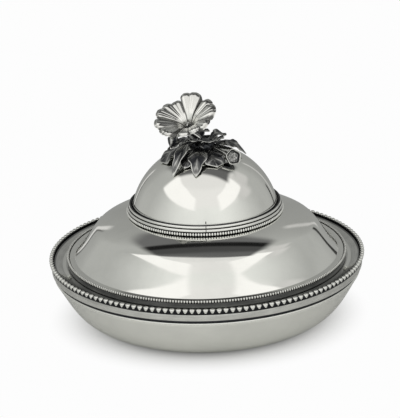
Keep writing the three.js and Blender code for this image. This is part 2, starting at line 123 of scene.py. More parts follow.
def offset(outline, distance):
    """The outline moved to its left by a distance."""
    outline = np.asarray(outline, float)
    steps = np.diff(outline, axis=0)
    steps /= np.linalg.norm(steps, axis=1)[:, None]
    first = np.vstack([steps[:1], steps])
    second = np.vstack([steps, steps[-1:]])
    along = first + second
    along /= np.linalg.norm(along, axis=1)[:, None]
    reach = distance / np.maximum((along * first).sum(1), 0.5)
    moved = outline + np.stack([-along[:, 1], along[:, 0]], 1) * reach[:, None]
    moved[outline[:, 0] < ON_AXIS, 0] = 0
    return moved


def rounded(section, radius):
    """A closed section with its sharp corners turned over a radius."""
    section = np.asarray(section, float)
    points = []
    for i, here in enumerate(section):
        into = here - section[i - 1]
        away = section[(i + 1) % len(section)] - here
        before, after = np.linalg.norm(into), np.linalg.norm(away)
        turn = math.acos(np.clip(into @ away / (before * after), -1, 1))
        if turn < SHARP_CORNER or here[0] < ON_AXIS:
            points.append(here)
            continue
        start = here - into * min(radius / before, CORNER_SHARE)
        end = here + away * min(radius / after, CORNER_SHARE)
        for t in np.linspace(0, 1, CORNER_STEPS + 1):
            points.append((1 - t) ** 2 * start + 2 * (1 - t) * t * here + t * t * end)
    return np.array(points)


def round_angles(sides):
    """Even angles round a full turn."""
    return np.arange(sides) * 2 * math.pi / sides


def turned_points(radius, angle, height):
    """Points by their radius and angle round the Z axis and their height."""
    return np.stack(np.broadcast_arrays(radius * np.cos(angle), radius * np.sin(angle), height), -1)


def disc_section(radius, height, half, sides):
    """The section of a round wire: the radius and height of its centre, and half its thickness."""
    angle = round_angles(sides)
    return np.stack([radius + half * np.cos(angle), height + half * np.sin(angle)], 1)


# Mesh making: every maker returns points, faces and a wear and shade value, 1 on polished high spots
# and 0 in dark hollows, which holds real wear and oxide as well as painted shade and highlights


def grid_faces(rows, columns, first=0, wrap=False):
    """Quads over a grid of points stored row by row; wrap joins the last column to the first."""
    across = columns if wrap else columns - 1
    row, column = np.meshgrid(np.arange(rows - 1), np.arange(across), indexing="ij")
    here = row * columns + column
    beside = row * columns + (column + 1) % columns
    quads = np.stack([here, beside, beside + columns, here + columns], -1)
    return (quads.reshape(-1, 4) + first).tolist()


def lathe(section, steps, wear=1.0):
    """A body turned round the Z axis from a closed section of radius and height. The wear and shade
    value is one number or a rule of radius and height."""
    section = np.asarray(section, float)
    r, z = section[:, 0], section[:, 1]
    area = (r * np.roll(z, -1) - np.roll(r, -1) * z).sum()
    wear = np.broadcast_to(np.asarray(wear(r, z) if callable(wear) else wear, float), len(section))
    if area < 0:
        section, wear = section[::-1], wear[::-1]
    turn = round_angles(steps)
    points, rings, shades = [], [], []
    for (radius, height), shade in zip(section, wear):
        if radius < ON_AXIS:
            rings.append([len(points)] * steps)
            points.append((0.0, 0.0, height))
            shades.append(shade)
            continue
        rings.append(list(range(len(points), len(points) + steps)))
        points += turned_points(radius, turn, height).tolist()
        shades += [shade] * steps
    faces = []
    for i, ring in enumerate(rings):
        above = rings[(i + 1) % len(rings)]
        if ring[0] == ring[1] and above[0] == above[1]:
            continue
        for j in range(steps):
            k = (j + 1) % steps
            corners = [ring[j], ring[k], above[k], above[j]]
            faces.append(list(dict.fromkeys(corners)))
    return np.array(points), faces, np.array(shades)


def closed_tube(skin, start, end):
    """A tube through rings of points, closed at both ends by a fan round a point."""
    rows, sides = skin.shape[:2]
    points = np.vstack([skin.reshape(-1, 3), [start], [end]])
    faces = grid_faces(rows, sides, wrap=True)
    first, last, last_ring = rows * sides, rows * sides + 1, (rows - 1) * sides
    for j in range(sides):
        k = (j + 1) % sides
        faces.append([first, k, j])
        faces.append([last, last_ring + j, last_ring + k])
    return points, faces


def tube_grid(rows, sides):
    """The share along a tube and the angle round it, for each point of its skin."""
    return np.meshgrid(np.linspace(0, 1, rows), round_angles(sides), indexing="ij")


def bead_shape(rows, sides, taper):
    """One bead of unit size standing on its narrow end, as points and faces."""
    polar = np.linspace(0, math.pi, rows + 2)[1:-1, None]
    girth = np.sin(polar) ** (1 - 0.5 * taper) * (1 - taper * (1 - np.cos(polar)) / 2)
    skin = turned_points(girth, round_angles(sides), np.cos(polar))
    points, faces = closed_tube(skin, (0, 0, 1), (0, 0, -1))
    return points, [face[::-1] for face in faces]


def bead_row(radius, height, count, size, taper, rows, sides, polish=0.7, sunk=False):
    """A row of beads round the Z axis. Size is radial, sideways and upright half widths, and polish
    is the share of their half width kept bright, as rubbed silver and painted highlight, with painted
    shade towards their sides. Sunk beads also get painted shade below, but keep
    a little brightness all over."""
    shape, shape_faces = bead_shape(rows, sides, taper)
    shape = shape * np.array(size)
    x, y, z = shape.T
    turn = (np.arange(count) + 0.5)[:, None] * 2 * math.pi / count
    px = (radius + x) * np.cos(turn) - y * np.sin(turn)
    py = (radius + x) * np.sin(turn) + y * np.cos(turn)
    points = np.stack(np.broadcast_arrays(px, py, height + z), -1).reshape(-1, 3)
    faces = [[corner + first for corner in face]
             for first in range(0, count * len(shape), len(shape)) for face in shape_faces]
    # Bright in the middle as painted highlight on rubbed silver, painted shade towards the sides and, on
    # sunk beads, below
    wear = 1 - smooth_step((np.abs(y) / size[1] - polish) / BEAD_SIDE_SHADE_FADE)
    if sunk:
        wear = np.maximum(wear * smooth_step((z / size[2] + 1.3 - polish) / SUNK_SHADE_FADE), SUNK_SHADE_FLOOR)
    return points, faces, np.tile(wear, count)


def sheet(middle, thickness, wear):
    """A closed sheet with a rounded rim round a grid of middle points."""
    rows, columns = middle.shape[:2]
    normal = np.cross(np.gradient(middle, axis=1), np.gradient(middle, axis=0))
    normal /= np.maximum(np.linalg.norm(normal, axis=-1, keepdims=True), NO_LENGTH)
    half = np.broadcast_to(np.asarray(thickness, float), (rows, columns))[..., None] / 2
    index = np.arange(rows * columns).reshape(rows, columns)
    rim = np.concatenate([index[0, :-1], index[:-1, -1], index[-1, :0:-1], index[:0:-1, 0]])
    inner = np.concatenate([index[1, :-1], index[:-1, -2], index[-2, :0:-1], index[:0:-1, 1]])
    flat = middle.reshape(-1, 3)
    out = flat[rim] - flat[inner]
    out /= np.maximum(np.linalg.norm(out, axis=1)[:, None], NO_LENGTH)
    edge = flat[rim] + out * half.reshape(-1, 1)[rim]
    front = (middle + normal * half).reshape(-1, 3)
    back = (middle - normal * half).reshape(-1, 3)
    points = np.vstack([front, back, edge])
    faces = grid_faces(rows, columns)
    total = rows * columns
    faces += [[corner + total for corner in face[::-1]] for face in faces]
    count = len(rim)
    for i in range(count):
        j = (i + 1) % count
        a, b = int(rim[i]), int(rim[j])
        c, d = 2 * total + i, 2 * total + j
        faces.append([b, a, c, d])
        faces.append([a + total, b + total, d, c])
    shade = np.asarray(wear, float).reshape(-1)
    return points, faces, np.concatenate([shade, shade * BACK_WEAR, shade[rim]])


def spline(points, count):
    """Points along a smooth curve through the given ones."""
    points = np.asarray(points, float)
    points = np.vstack([2 * points[0] - points[1], points, 2 * points[-1] - points[-2]])
    spans = len(points) - 3
    result = []
    for t in np.linspace(0, spans, count):
        i = min(int(t), spans - 1)
        s = t - i
        a, b, c, d = points[i:i + 4]
        result.append(0.5 * (
            2 * b + (c - a) * s + (2 * a - 5 * b + 4 * c - d) * s * s
            + (3 * b - a - 3 * c + d) * s ** 3))
    return np.array(result)


def swept(path, radii, sides, ridges=0, ridge=0.0, twist=0.0):
    """A round rod along a path, with closed ends and, if asked, ridges that wind round it."""
    path = np.asarray(path, float)
    radii = np.broadcast_to(np.asarray(radii, float), len(path))
    tangent = np.gradient(path, axis=0)
    tangent /= np.linalg.norm(tangent, axis=1)[:, None]
    side = np.cross(tangent[0], [0.3, 1.0, 0.2])
    angle = round_angles(sides)
    rings, shades = [], []
    for i, (place, direction, radius) in enumerate(zip(path, tangent, radii)):
        side = side - direction * (side @ direction)
        side = side / np.linalg.norm(side)
        other = np.cross(direction, side)
        wave = np.cos(ridges * angle + twist * i / len(path)) if ridges else np.zeros(sides)
        reach = radius * (1 + ridge * wave)
        rings.append(place + np.outer(reach * np.cos(angle), side) + np.outer(reach * np.sin(angle), other))
        shades.append(0.5 + 0.4 * wave)
    points, faces = closed_tube(np.array(rings), path[0], path[-1])
    return points, faces, np.concatenate([*shades, [0.4, 0.4]])


def front_sleeve(section, half):
    """A short closed body with the given section of radius and height, across the front of the
    dish: the joint of a wire that meets itself there."""
    count = len(section)
    left = np.column_stack([np.full(count, -half), -section[:, 0], section[:, 1]])
    faces = [[j, count + j, count + (j + 1) % count, (j + 1) % count] for j in range(count)]
    faces += [list(range(count)), list(range(2 * count - 1, count - 1, -1))]
    return np.vstack([left, left * (-1, 1, 1)]), faces, np.full(2 * count, SOLDER_WEAR)


def merged(*bodies):
    """Several bodies as one piece."""
    points, faces, wear = [], [], []
    for body_points, body_faces, body_wear_and_shade in bodies:
        first = sum(len(p) for p in points)
        points.append(body_points)
        faces += [[corner + first for corner in face] for face in body_faces]
        wear.append(body_wear_and_shade)
    return np.vstack(points), faces, np.concatenate(wear)


def signed_volume(points, faces):
    """Six times the volume within the faces, below zero where they look inward."""
    volume = 0.0
    for size in sorted({len(face) for face in faces}):
        alike = np.array([face for face in faces if len(face) == size])
        for k in range(1, size - 1):
            a, b, c = points[alike[:, 0]], points[alike[:, k]], points[alike[:, k + 1]]
            volume += (a * np.cross(b, c)).sum()
    return volume


def place_piece(name, body, node, slot, shape, crease=40):
    """Makes the piece's mesh in metres, gives it its slot's finish, ties it to its body and hides
    the frame's node that it stands for. Edges sharper than the crease, in degrees, stay sharp."""
    points, faces, wear = shape
    if signed_volume(points, faces) < 0:
        faces = [face[::-1] for face in faces]
    mesh = bpy.data.meshes.new(name)
    mesh.from_pydata((points * MM).tolist(), [], faces)
    mesh.polygons.foreach_set("use_smooth", [True] * len(mesh.polygons))
    mesh.set_sharp_from_angle(angle=math.radians(crease))
    attribute = mesh.attributes.new("wear", "FLOAT", "POINT")
    attribute.data.foreach_set("value", np.asarray(wear, float).clip(0, 1).tolist())
    mesh.materials.append(finish_for(slot))
    mesh.update()
    piece = bpy.data.objects.new(name, mesh)
    bpy.context.scene.collection.objects.link(piece)
    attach(piece, body)
    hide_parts(node)


# Shader groups, built once and placed in each finish with its own values


class Tree:
    """Short hand for adding nodes to a node tree and joining them."""

    def __init__(self, tree):
        self.tree = tree

    def add(self, kind, settings=(), **inputs):
        node = self.tree.nodes.new(kind)
        for name, value in dict(settings).items():
            setattr(node, name, value)
        for name, value in inputs.items():
            self.put(node, name, value)
        return node

    def put(self, node, name, value):
        key = int(name[1:]) if name[0] == "_" and name[1:].isdigit() else name.replace("_", " ")
        socket = node.inputs[key]
        if isinstance(value, bpy.types.NodeSocket):
            self.tree.links.new(value, socket)
        else:
            socket.default_value = value

    def math(self, operation, first, second=0.0, clamp=False):
        node = self.add("ShaderNodeMath", {"operation": operation, "use_clamp": clamp}, _0=first, _1=second)
        return node.outputs[0]

    def mix(self, share, first, second):
        node = self.add("ShaderNodeMix", {"data_type": "RGBA"}, _0=share)
        self.put(node, "_6", first)
        self.put(node, "_7", second)
        return node.outputs[2]

    def span(self, value, low, high, start=0.0, end=1.0, kind="SMOOTHSTEP"):
        node = self.add("ShaderNodeMapRange", {"interpolation_type": kind}, Value=value)
        for key, number in (("From Min", low), ("From Max", high), ("To Min", start), ("To Max", end)):
            self.put(node, key, number)
        return node.outputs[0]

    def noise(self, vector, scale, detail=3.0, roughness=0.5):
        return self.add(
            "ShaderNodeTexNoise", Vector=vector, Scale=scale, Detail=detail, Roughness=roughness
        ).outputs[0]


def new_group(name, inputs, outputs):
    """An empty shader group with named sockets, as (group, tree, input node, output node)."""
    group = bpy.data.node_groups.new(name, "ShaderNodeTree")
    for kind, way in ((inputs, "INPUT"), (outputs, "OUTPUT")):
        for socket, form, value in kind:
            made = group.interface.new_socket(name=socket, in_out=way, socket_type=form)
            if value is not None:
                made.default_value = value
    tree = Tree(group)
    return group, tree, tree.add("NodeGroupInput"), tree.add("NodeGroupOutput")


def hand_polish_group():
    """Faint scratches, wiping marks and the slow waves of planished sheet."""
    group, tree, given, out = new_group(
        "hand polish",
        [
            ("Vector", "NodeSocketVector", None),
            ("Low", "NodeSocketFloat", 0.05),
            ("High", "NodeSocketFloat", 0.12),
            ("Wave Scale", "NodeSocketFloat", 28.0),
        ],
        [("Roughness", "NodeSocketFloat", None), ("Height", "NodeSocketFloat", None),
         ("Smear", "NodeSocketFloat", None)],
    )
    place = given.outputs["Vector"]
    waves = tree.noise(place, given.outputs["Wave Scale"], 1.5, 0.4)
    stretch = tree.add("ShaderNodeMapping", Vector=place)
    stretch.inputs["Rotation"].default_value = (0.4, 0.9, 0.3)
    stretch.inputs["Scale"].default_value = (60.0, 900.0, 500.0)
    scratches = tree.noise(stretch.outputs[0], 1.0, 5.0, 0.7)
    fine = tree.span(scratches, 0.56, 0.8)
    smear = tree.span(tree.noise(place, 22.0, 4.0, 0.6), 0.42, 0.72)
    blend = tree.math("ADD", tree.math("MULTIPLY", smear, 0.6), tree.math("MULTIPLY", fine, 0.4))
    rough = tree.span(blend, 0.0, 1.0, given.outputs["Low"], given.outputs["High"], "LINEAR")
    tree.put(out, "Roughness", rough)
    tree.put(out, "Height", tree.math("ADD", waves, tree.math("MULTIPLY", fine, 0.004)))
    tree.put(out, "Smear", smear)
    return group


def relief_group():
    """Cast relief: dark oxide in the hollows and painted shade where the wear and shade value is low,
    bare metal where it is high.
    """
    group, tree, given, out = new_group(
        "cast relief",
        [
            ("Vector", "NodeSocketVector", None),
            ("Wear", "NodeSocketFloat", 0.5),
            ("Dark", "NodeSocketColor", (0.05, 0.05, 0.05, 1)),
            ("Bright", "NodeSocketColor", (0.8, 0.8, 0.78, 1)),
            ("Start", "NodeSocketFloat", 0.1),
            ("End", "NodeSocketFloat", 0.8),
        ],
        [("Color", "NodeSocketColor", None), ("Roughness", "NodeSocketFloat", None),
         ("Height", "NodeSocketFloat", None)],
    )
    place = given.outputs["Vector"]
    grain = tree.noise(place, 900.0, 4.0, 0.6)
    patch = tree.noise(place, 180.0, 3.0, 0.55)
    uneven = tree.math("MULTIPLY", tree.math("SUBTRACT", patch, 0.5), 0.5)
    reached = tree.math("ADD", given.outputs["Wear"], uneven)
    mask = tree.span(reached, given.outputs["Start"], given.outputs["End"])
    tree.put(out, "Color", tree.mix(mask, given.outputs["Dark"], given.outputs["Bright"]))
    tree.put(out, "Roughness", tree.span(mask, 0.0, 1.0, 0.38, 0.16, "LINEAR"))
    tree.put(out, "Height", grain)
    return group


def spun_tarnish_group():
    """Tarnish in streaks round the Z axis where polishing doesn't reach, with painted shade, where the
    wear and shade value is low.
    """
    group, tree, given, out = new_group(
        "spun tarnish",
        [("Vector", "NodeSocketVector", None), ("Wear", "NodeSocketFloat", 1.0)],
        [("Mask", "NodeSocketFloat", None)],
    )
    parts = tree.add("ShaderNodeSeparateXYZ", _0=given.outputs["Vector"])
    flat = tree.add("ShaderNodeCombineXYZ", X=parts.outputs[0], Y=parts.outputs[1])
    radius = tree.add("ShaderNodeVectorMath", {"operation": "LENGTH"}, _0=flat.outputs[0]).outputs["Value"]
    turn = tree.math("ARCTAN2", parts.outputs[1], parts.outputs[0])
    ring = tree.add("ShaderNodeCombineXYZ", X=tree.math("MULTIPLY", radius, 900.0),
                    Y=tree.math("MULTIPLY", turn, 7.0), Z=tree.math("MULTIPLY", parts.outputs[2], 500.0))
    streaks = tree.noise(ring.outputs[0], 1.0, 4.0, 0.6)
    patches = tree.noise(given.outputs["Vector"], 60.0, 3.0, 0.6)
    uneven = tree.math("ADD", tree.math("MULTIPLY", streaks, 0.75), tree.math("MULTIPLY", patches, 0.5))
    lack = tree.math("SUBTRACT", 1.0, given.outputs["Wear"])
    spread = tree.math("MULTIPLY", tree.math("MULTIPLY", lack, given.outputs["Wear"]), 3.2)
    shift = tree.math("MULTIPLY", tree.math("SUBTRACT", uneven, 0.62), spread)
    tree.put(out, "Mask", tree.math("ADD", given.outputs["Wear"], shift, True))
    return group


def turning_group():
    """Fine rings left by a lathe tool round the Z axis."""
    group, tree, given, out = new_group(
        "lathe rings",
        [("Vector", "NodeSocketVector", None), ("Pitch", "NodeSocketFloat", 3000.0)],
        [("Height", "NodeSocketFloat", None), ("Mask", "NodeSocketFloat", None)],
    )
    parts = tree.add("ShaderNodeSeparateXYZ", _0=given.outputs["Vector"])
    flat = tree.add("ShaderNodeCombineXYZ", X=parts.outputs[0], Y=parts.outputs[1])
    length = tree.add("ShaderNodeVectorMath", {"operation": "LENGTH"}, _0=flat.outputs[0])
    along = tree.math("ADD", length.outputs["Value"], parts.outputs[2])
    rings = tree.math("SINE", tree.math("MULTIPLY", along, given.outputs["Pitch"]))
    dirt = tree.span(tree.noise(given.outputs["Vector"], 260.0, 4.0, 0.6), 0.35, 0.7)
    tree.put(out, "Height", rings)
    tree.put(out, "Mask", dirt)
    return group


SHADER_GROUPS = {
    "hand polish": hand_polish_group,
    "cast relief": relief_group,
    "spun tarnish": spun_tarnish_group,
    "lathe rings": turning_group,
}


def add_group(tree, name, **inputs):
    """Places a shader group in a finish, and makes the group on first use."""
    shared = bpy.data.node_groups.get(name) or SHADER_GROUPS[name]()
    return tree.add("ShaderNodeGroup", {"node_tree": shared}, **inputs)


def new_finish(name):
    """A metal finish, as (material, tree, Principled shader, object coordinates)."""
    material = bpy.data.materials.new(name)
    material.use_nodes = True
    tree = Tree(material.node_tree)
    shader = material.node_tree.nodes["Principled BSDF"]
    shader.inputs["Metallic"].default_value = 1.0
    place = tree.add("ShaderNodeTexCoord").outputs["Object"]
    return material, tree, shader, place


def bump(tree, shader, height, distance):
    node = tree.add("ShaderNodeBump", Strength=1.0, Distance=distance, Height=height)
    tree.put(shader, "Normal", node.outputs[0])


def shade_of(color, factor):
    return (color[0] * factor, color[1] * factor, color[2] * factor, 1.0)


def polished_sheet(name, finish):
    """Mirror sheet with wiping marks, slow waves, and tarnish and painted shade where the wear and
    shade value is low.
    """
    material, tree, shader, place = new_finish(name)
    low = finish.sheet_roughness
    marks = add_group(tree, "hand polish", Vector=place, Low=low, High=low * 1.9, Wave_Scale=30.0)
    wear = tree.add("ShaderNodeAttribute", {"attribute_name": "wear"}).outputs["Fac"]
    mask = add_group(tree, "spun tarnish", Vector=place, Wear=wear).outputs[0]
    clean = tree.mix(marks.outputs["Smear"], shade_of(finish.silver, 1.0), shade_of(finish.silver, 0.93))
    tree.put(shader, "Base Color", tree.mix(mask, shade_of(finish.oxide, 1.6), clean))
    rough = tree.math("MULTIPLY", tree.math("SUBTRACT", 1.0, mask), 0.25)
    tree.put(shader, "Roughness", tree.math("ADD", rough, marks.outputs["Roughness"]))
    bump(tree, shader, marks.outputs["Height"], finish.sheet_wave)
    return material


def relief_finish(name, dark, bright, start, end, grain):
    """Cast or drawn metal, dark up to the wear and shade value of start and bright from end, with a
    grain in millimetres."""
    material, tree, shader, place = new_finish(name)
    wear = tree.add("ShaderNodeAttribute", {"attribute_name": "wear"}).outputs["Fac"]
    relief = add_group(
        tree, "cast relief", Vector=place, Wear=wear, Dark=dark, Bright=bright, Start=start, End=end)
    tree.put(shader, "Base Color", relief.outputs["Color"])
    tree.put(shader, "Roughness", relief.outputs["Roughness"])
    bump(tree, shader, relief.outputs["Height"], grain * MM)
    return material


def turned_brass(name, finish):
    """Brass with the rings of a lathe tool and a little dirt."""
    material, tree, shader, place = new_finish(name)
    rings = add_group(tree, "lathe rings", Vector=place)
    color = tree.mix(rings.outputs["Mask"], shade_of(finish.brass, 1.0), shade_of(finish.brass, 0.55))
    tree.put(shader, "Base Color", color)
    tree.put(shader, "Roughness", tree.span(rings.outputs["Mask"], 0, 1, 0.26, 0.42, "LINEAR"))
    bump(tree, shader, rings.outputs["Height"], 0.012 * MM)
    return material


def finish_for(slot):
    """The material of a record slot, made on first use from the panel's values."""
    finish = bpy.context.scene.dish_finish
    silver, oxide = finish.silver, finish.oxide
    makers = {
        "polished_sheet": ("polished silver sheet", polished_sheet, finish),
        "bright_wire": ("bright silver wire", relief_finish,
                        shade_of(oxide, 1.0), shade_of(silver, 1.0), 0.1, 0.6, 0.004),
        # The petal's dark is the silver itself at a sixth of its brightness: a shaded copy of the metal for
        # painted shade
        "cast_petal": ("cast silver petal", relief_finish,
                       shade_of(silver, 0.16), shade_of(silver, 1.0), 0.0, 0.62, 0.012),
        "oxidised_leaf": ("oxidised silver leaf", relief_finish,
                          shade_of(oxide, 2.2), shade_of(silver, 0.8), 0.12, 0.95, 0.03),
        "fixing": ("turned brass", turned_brass, finish),
    }
    name, maker, *values = makers[slot]
    return bpy.data.materials.get(name) or maker(name, *values)


# Sizes that the pieces share, in millimetres


class Sizes:
    """The bowl's, liner's and cover's measures, from the panel and from the frame."""

    def __init__(self, sizes):
        self.steps = sizes.turning_steps
        self.rim_beads = sizes.rim_bead_count
        self.cover_beads = sizes.cover_bead_count
        self.crown_beads = sizes.crown_bead_count
        # Gap for solder, gap round the hub, and thickness of the liner's and the cover's sheet
        self.join = 0.2
        self.fit = 0.3
        self.wall = 1.3

        # Bowl and its lip wire
        self.mouth = sizes.mouth_radius / MM
        self.foot = sizes.foot_radius / MM
        self.bowl_height = node_levels("bowl")[1]
        self.bowl_wall = 1.5
        self.belly, self.shoulder = (0.724, 0.0), (0.77, 0.43)
        self.lip = 0.95
        self.lip_radius = self.mouth - self.bowl_wall / 2

        # Large beads, the collar under them and the liner's border inside them
        self.bead = sizes.rim_bead_radius / MM
        self.rim_plane = node_levels("rim_bead_wire")[0] + self.bead
        self.collar = self.mouth + 1.6
        self.collar_foot = node_levels("liner_collar")[0]
        self.band_bottom = self.collar_foot + 2.1
        self.collar_top = self.rim_plane - self.bead - self.join
        self.bead_radius = self.collar + self.join
        self.border_edge = self.bead_radius - self.bead - self.join
        self.border_top = self.rim_plane - 0.4
        self.border_dip = 2.2
        self.border_width = 10.0
        self.seat = self.border_top - self.border_dip
        self.seat_width = 4.9
        self.liner_mouth = self.border_edge - self.border_width - self.seat_width
        self.liner_outside = self.liner_mouth + self.wall
        self.liner_floor = node_levels("liner")[0]

        # Cover: bezel, edge ring, tiny beads and dome
        self.bezel_gap = 0.7
        self.bezel_drop = 6.0
        self.edge_outer = self.liner_mouth + self.seat_width - self.bezel_gap
        self.edge_inner = self.liner_mouth - self.bezel_gap + self.join
        self.edge_foot, self.edge_top = node_levels("cover_edge_ring")
        self.tiny = 1.1
        self.brim_top = self.edge_top + self.join + self.wall
        self.brim = self.edge_outer - 2 * self.tiny + self.join
        self.dome_foot = self.brim - 4.5
        self.shoulder_top = node_levels("cover_dome")[1]

        # Crown, its hole for the stud, and the mount with its wires
        self.crown = sizes.crown_radius / MM
        self.crown_wall = self.crown - 2.3
        self.crown_rise = sizes.crown_rise / MM
        self.crown_foot, crown_top = node_levels("crown_dome")
        self.crown_centre = crown_top - self.crown_rise
        self.stud_hole = 2.3
        self.mount_foot = 3.9
        self.mount_height = 8.8
        self.reed = 1.3
        self.ledge = self.crown_wall + self.mount_foot + self.reed
        self.hole = self.crown_wall - 4.4

        # Hub under the leaves, and the narrower cap on it
        self.hub_foot, self.cap_top = node_levels("finial_hub")
        self.hub_top = self.hub_foot + 2.6
        self.hub, self.cap = 9.0, 6.0

    def crown_height(self, radius):
        """Height of the crown's outside at a distance from the Z axis."""
        share = np.minimum(np.asarray(radius, float) / self.crown, 0.999)
        return self.crown_centre + self.crown_rise * np.sqrt(1 - share ** 2)


# Bowl


def bowl_pieces(s):
    curve = bowl_curve((s.foot, 0.0), (s.mouth, s.bowl_height), s.belly, s.shoulder, 70)
    outline = np.vstack([[[0, 0.0]], [[s.foot * 0.5, 0.0]], curve])
    inside = offset(outline, s.bowl_wall)
    inside[-1, 1] = s.bowl_height
    section = np.vstack([outline, [[s.lip_radius, s.bowl_height + s.join]], inside[::-1]])
    place_piece("bowl_shell", "bowl", "bowl", "polished_sheet", lathe(rounded(section, 0.5), s.steps))
    wire = disc_section(s.lip_radius, s.bowl_height + s.join + s.lip * 0.87, s.lip, 16)
    place_piece("bowl_lip", "bowl", "bowl_lip_wire", "bright_wire", lathe(wire, s.steps))


# Liner


def liner_piece(s):
    """The inner dish with its dished border, painted darker as shade beside the beads and under the cover.
    """
    curve = bowl_curve(
        (s.foot - 6.0, s.liner_floor), (s.liner_outside, s.seat - 8.0), s.belly, s.shoulder, 60)
    outline = np.vstack([
        [[0, s.liner_floor]], [[s.foot * 0.45, s.liner_floor]], curve,
        [[s.liner_outside, s.seat - s.wall]]])
    border = bezier(
        (s.border_edge - s.border_width, s.seat),
        (s.border_edge - s.border_width * 0.55, s.seat - s.border_dip * 0.25),
        (s.border_edge - s.border_width * 0.2, s.border_top - s.border_dip * 0.55),
        (s.border_edge, s.border_top), 34)
    inside = offset(outline, s.wall)
    inside[-1] = (s.liner_mouth, s.seat)
    section = np.vstack([outline, offset(border, -s.wall), border[::-1], inside[::-1]])

    def border_shade(r, z):
        """The border is painted darker, most of all in the shade beside the beads and under the cover's
        edge.
        """
        groove = smooth_step((r - s.border_edge + 1.5) / 0.7)
        seat = 1 - smooth_step((r - s.edge_outer - 0.1) / 0.8)
        shade_level = 0.2 + 0.5 * (1 - groove) * (1 - seat)
        return np.where((r > s.edge_outer - 0.5) & (z > s.seat - 0.05), shade_level, 1.0)

    place_piece("liner_dish", "liner", "liner", "polished_sheet",
                lathe(rounded(section, 0.5), s.steps, border_shade))


def collar_piece(s):
    """The band under the rim beads, with a foot that stands on the bowl's lip."""
    thick = 1.4
    inner = s.collar - thick
    foot_outer = s.lip_radius + s.lip / 2
    section = [
        (s.collar, s.collar_top), (s.collar, s.band_bottom), (foot_outer, s.band_bottom),
        (foot_outer, s.collar_foot), (foot_outer - 2 * thick, s.collar_foot),
        (inner, s.band_bottom + thick), (inner, s.collar_top - thick), (inner - thick, s.collar_top),
    ]

    def band_shade(r, z):
        """The foot is painted black as shade in the recess, and the band is painted darker as shade under
        the beads.
        """
        band = smooth_step((z - s.band_bottom - 0.02) / 0.5)
        return band * (1 - 0.6 * smooth_step((z - s.collar_top + 0.6) / 0.5))

    place_piece("liner_band", "liner", "liner_collar", "polished_sheet",
                lathe(rounded(section, 0.35), s.steps, band_shade))


def rim_bead_piece(s):
    beads = bead_row(s.bead_radius, s.rim_plane, s.rim_beads, (s.bead, s.bead * 1.24, s.bead), 0.82, 11, 14)
    inner, low = s.bead_radius - s.bead * 0.8, s.rim_plane - s.bead + 0.15
    # The core behind the beads is black: painted shade in the gaps between them
    core = rounded([
        (inner, low), (s.bead_radius + 0.7, low), (s.bead_radius + 1.0, s.rim_plane),
        (s.bead_radius + 0.2, s.rim_plane + 1.3), (inner, s.rim_plane + 1.2)], 0.4)
    place_piece("rim_beads", "liner", "rim_bead_wire", "bright_wire",
                merged(beads, lathe(core, s.steps, 0.0)), 60)


# Cover

# Steepness of the dome in degrees by the share of its height: a flared brim, a steep wall and a
# full shoulder
DOME_SLOPES = (
    (0.0, 39.5), (0.05, 42.0), (0.1, 46.0), (0.143, 48.7), (0.2, 50.8), (0.271, 53.0), (0.413, 55.5),
    (0.527, 52.5), (0.598, 49.5), (0.655, 45.5), (0.697, 35.5), (0.74, 28.0), (0.797, 24.5),
    (0.868, 21.5), (0.939, 18.5), (1.0, 15.5),
)


def dome_curve(s, count):
    """The dome's outline from its foot to the crown's ledge, with its slopes eased together."""
    samples, reach = 1201, 22
    share = np.linspace(0, 1, samples)
    ease = np.hanning(2 * reach + 1)
    slope = np.pad(np.interp(share, *np.transpose(DOME_SLOPES)), reach, mode="edge")
    slope = np.radians(np.convolve(slope, ease / ease.sum(), "valid"))
    inward = np.concatenate([[0], np.cumsum(1 / np.tan((slope[1:] + slope[:-1]) / 2))])
    r = lerp(s.dome_foot, s.ledge, inward / inward[-1])
    z = lerp(s.brim_top, s.shoulder_top, share)
    travel = np.concatenate([[0], np.cumsum(np.hypot(np.diff(r), np.diff(z)))])
    at = np.linspace(0, travel[-1], count)
    return np.stack([np.interp(at, travel, r), np.interp(at, travel, z)], 1)


def cover_pieces(s):
    outline = np.vstack([[[s.brim, s.brim_top]], dome_curve(s, 110), [[s.hole, s.shoulder_top]]])
    section = np.vstack([outline, offset(outline, s.wall)[::-1]])
    place_piece("cover_shell", "cover", "cover_dome", "polished_sheet",
                lathe(rounded(section, 0.5), s.steps))
    edge = [(s.edge_inner, s.edge_foot), (s.edge_outer, s.edge_foot),
            (s.edge_outer, s.edge_top + s.join), (s.edge_inner, s.edge_top + s.join)]
    # The edge ring is kept near black: painted shade under the cover's rim, which the liner's border also
    # reflects
    place_piece("cover_edge", "cover", "cover_edge_ring", "polished_sheet",
                lathe(rounded(edge, 0.4), s.steps, 0.11))
    outer = s.liner_mouth - s.bezel_gap
    low = s.edge_foot - s.bezel_drop
    bezel = [(outer - s.wall, low), (outer, low), (outer, s.edge_top), (outer - s.wall, s.edge_top)]
    place_piece("cover_collet", "cover", "cover_bezel", "polished_sheet",
                lathe(rounded(bezel, 0.4), s.steps))


def cover_bead_piece(s):
    radius = s.brim + s.join + s.tiny
    beads = bead_row(radius, s.brim_top, s.cover_beads, (s.tiny, s.tiny * 0.96, s.tiny),
                     0.2, 8, 12, 0.45, sunk=True)
    # The core under the beads is black: painted shade in the gaps between them
    core = disc_section(radius - 0.25, s.brim_top - 0.2, s.tiny * 0.72, 8)
    place_piece("cover_beads", "cover", "cover_bead_wire", "bright_wire",
                merged(beads, lathe(core, s.steps, 0.0)), 60)


# Crown


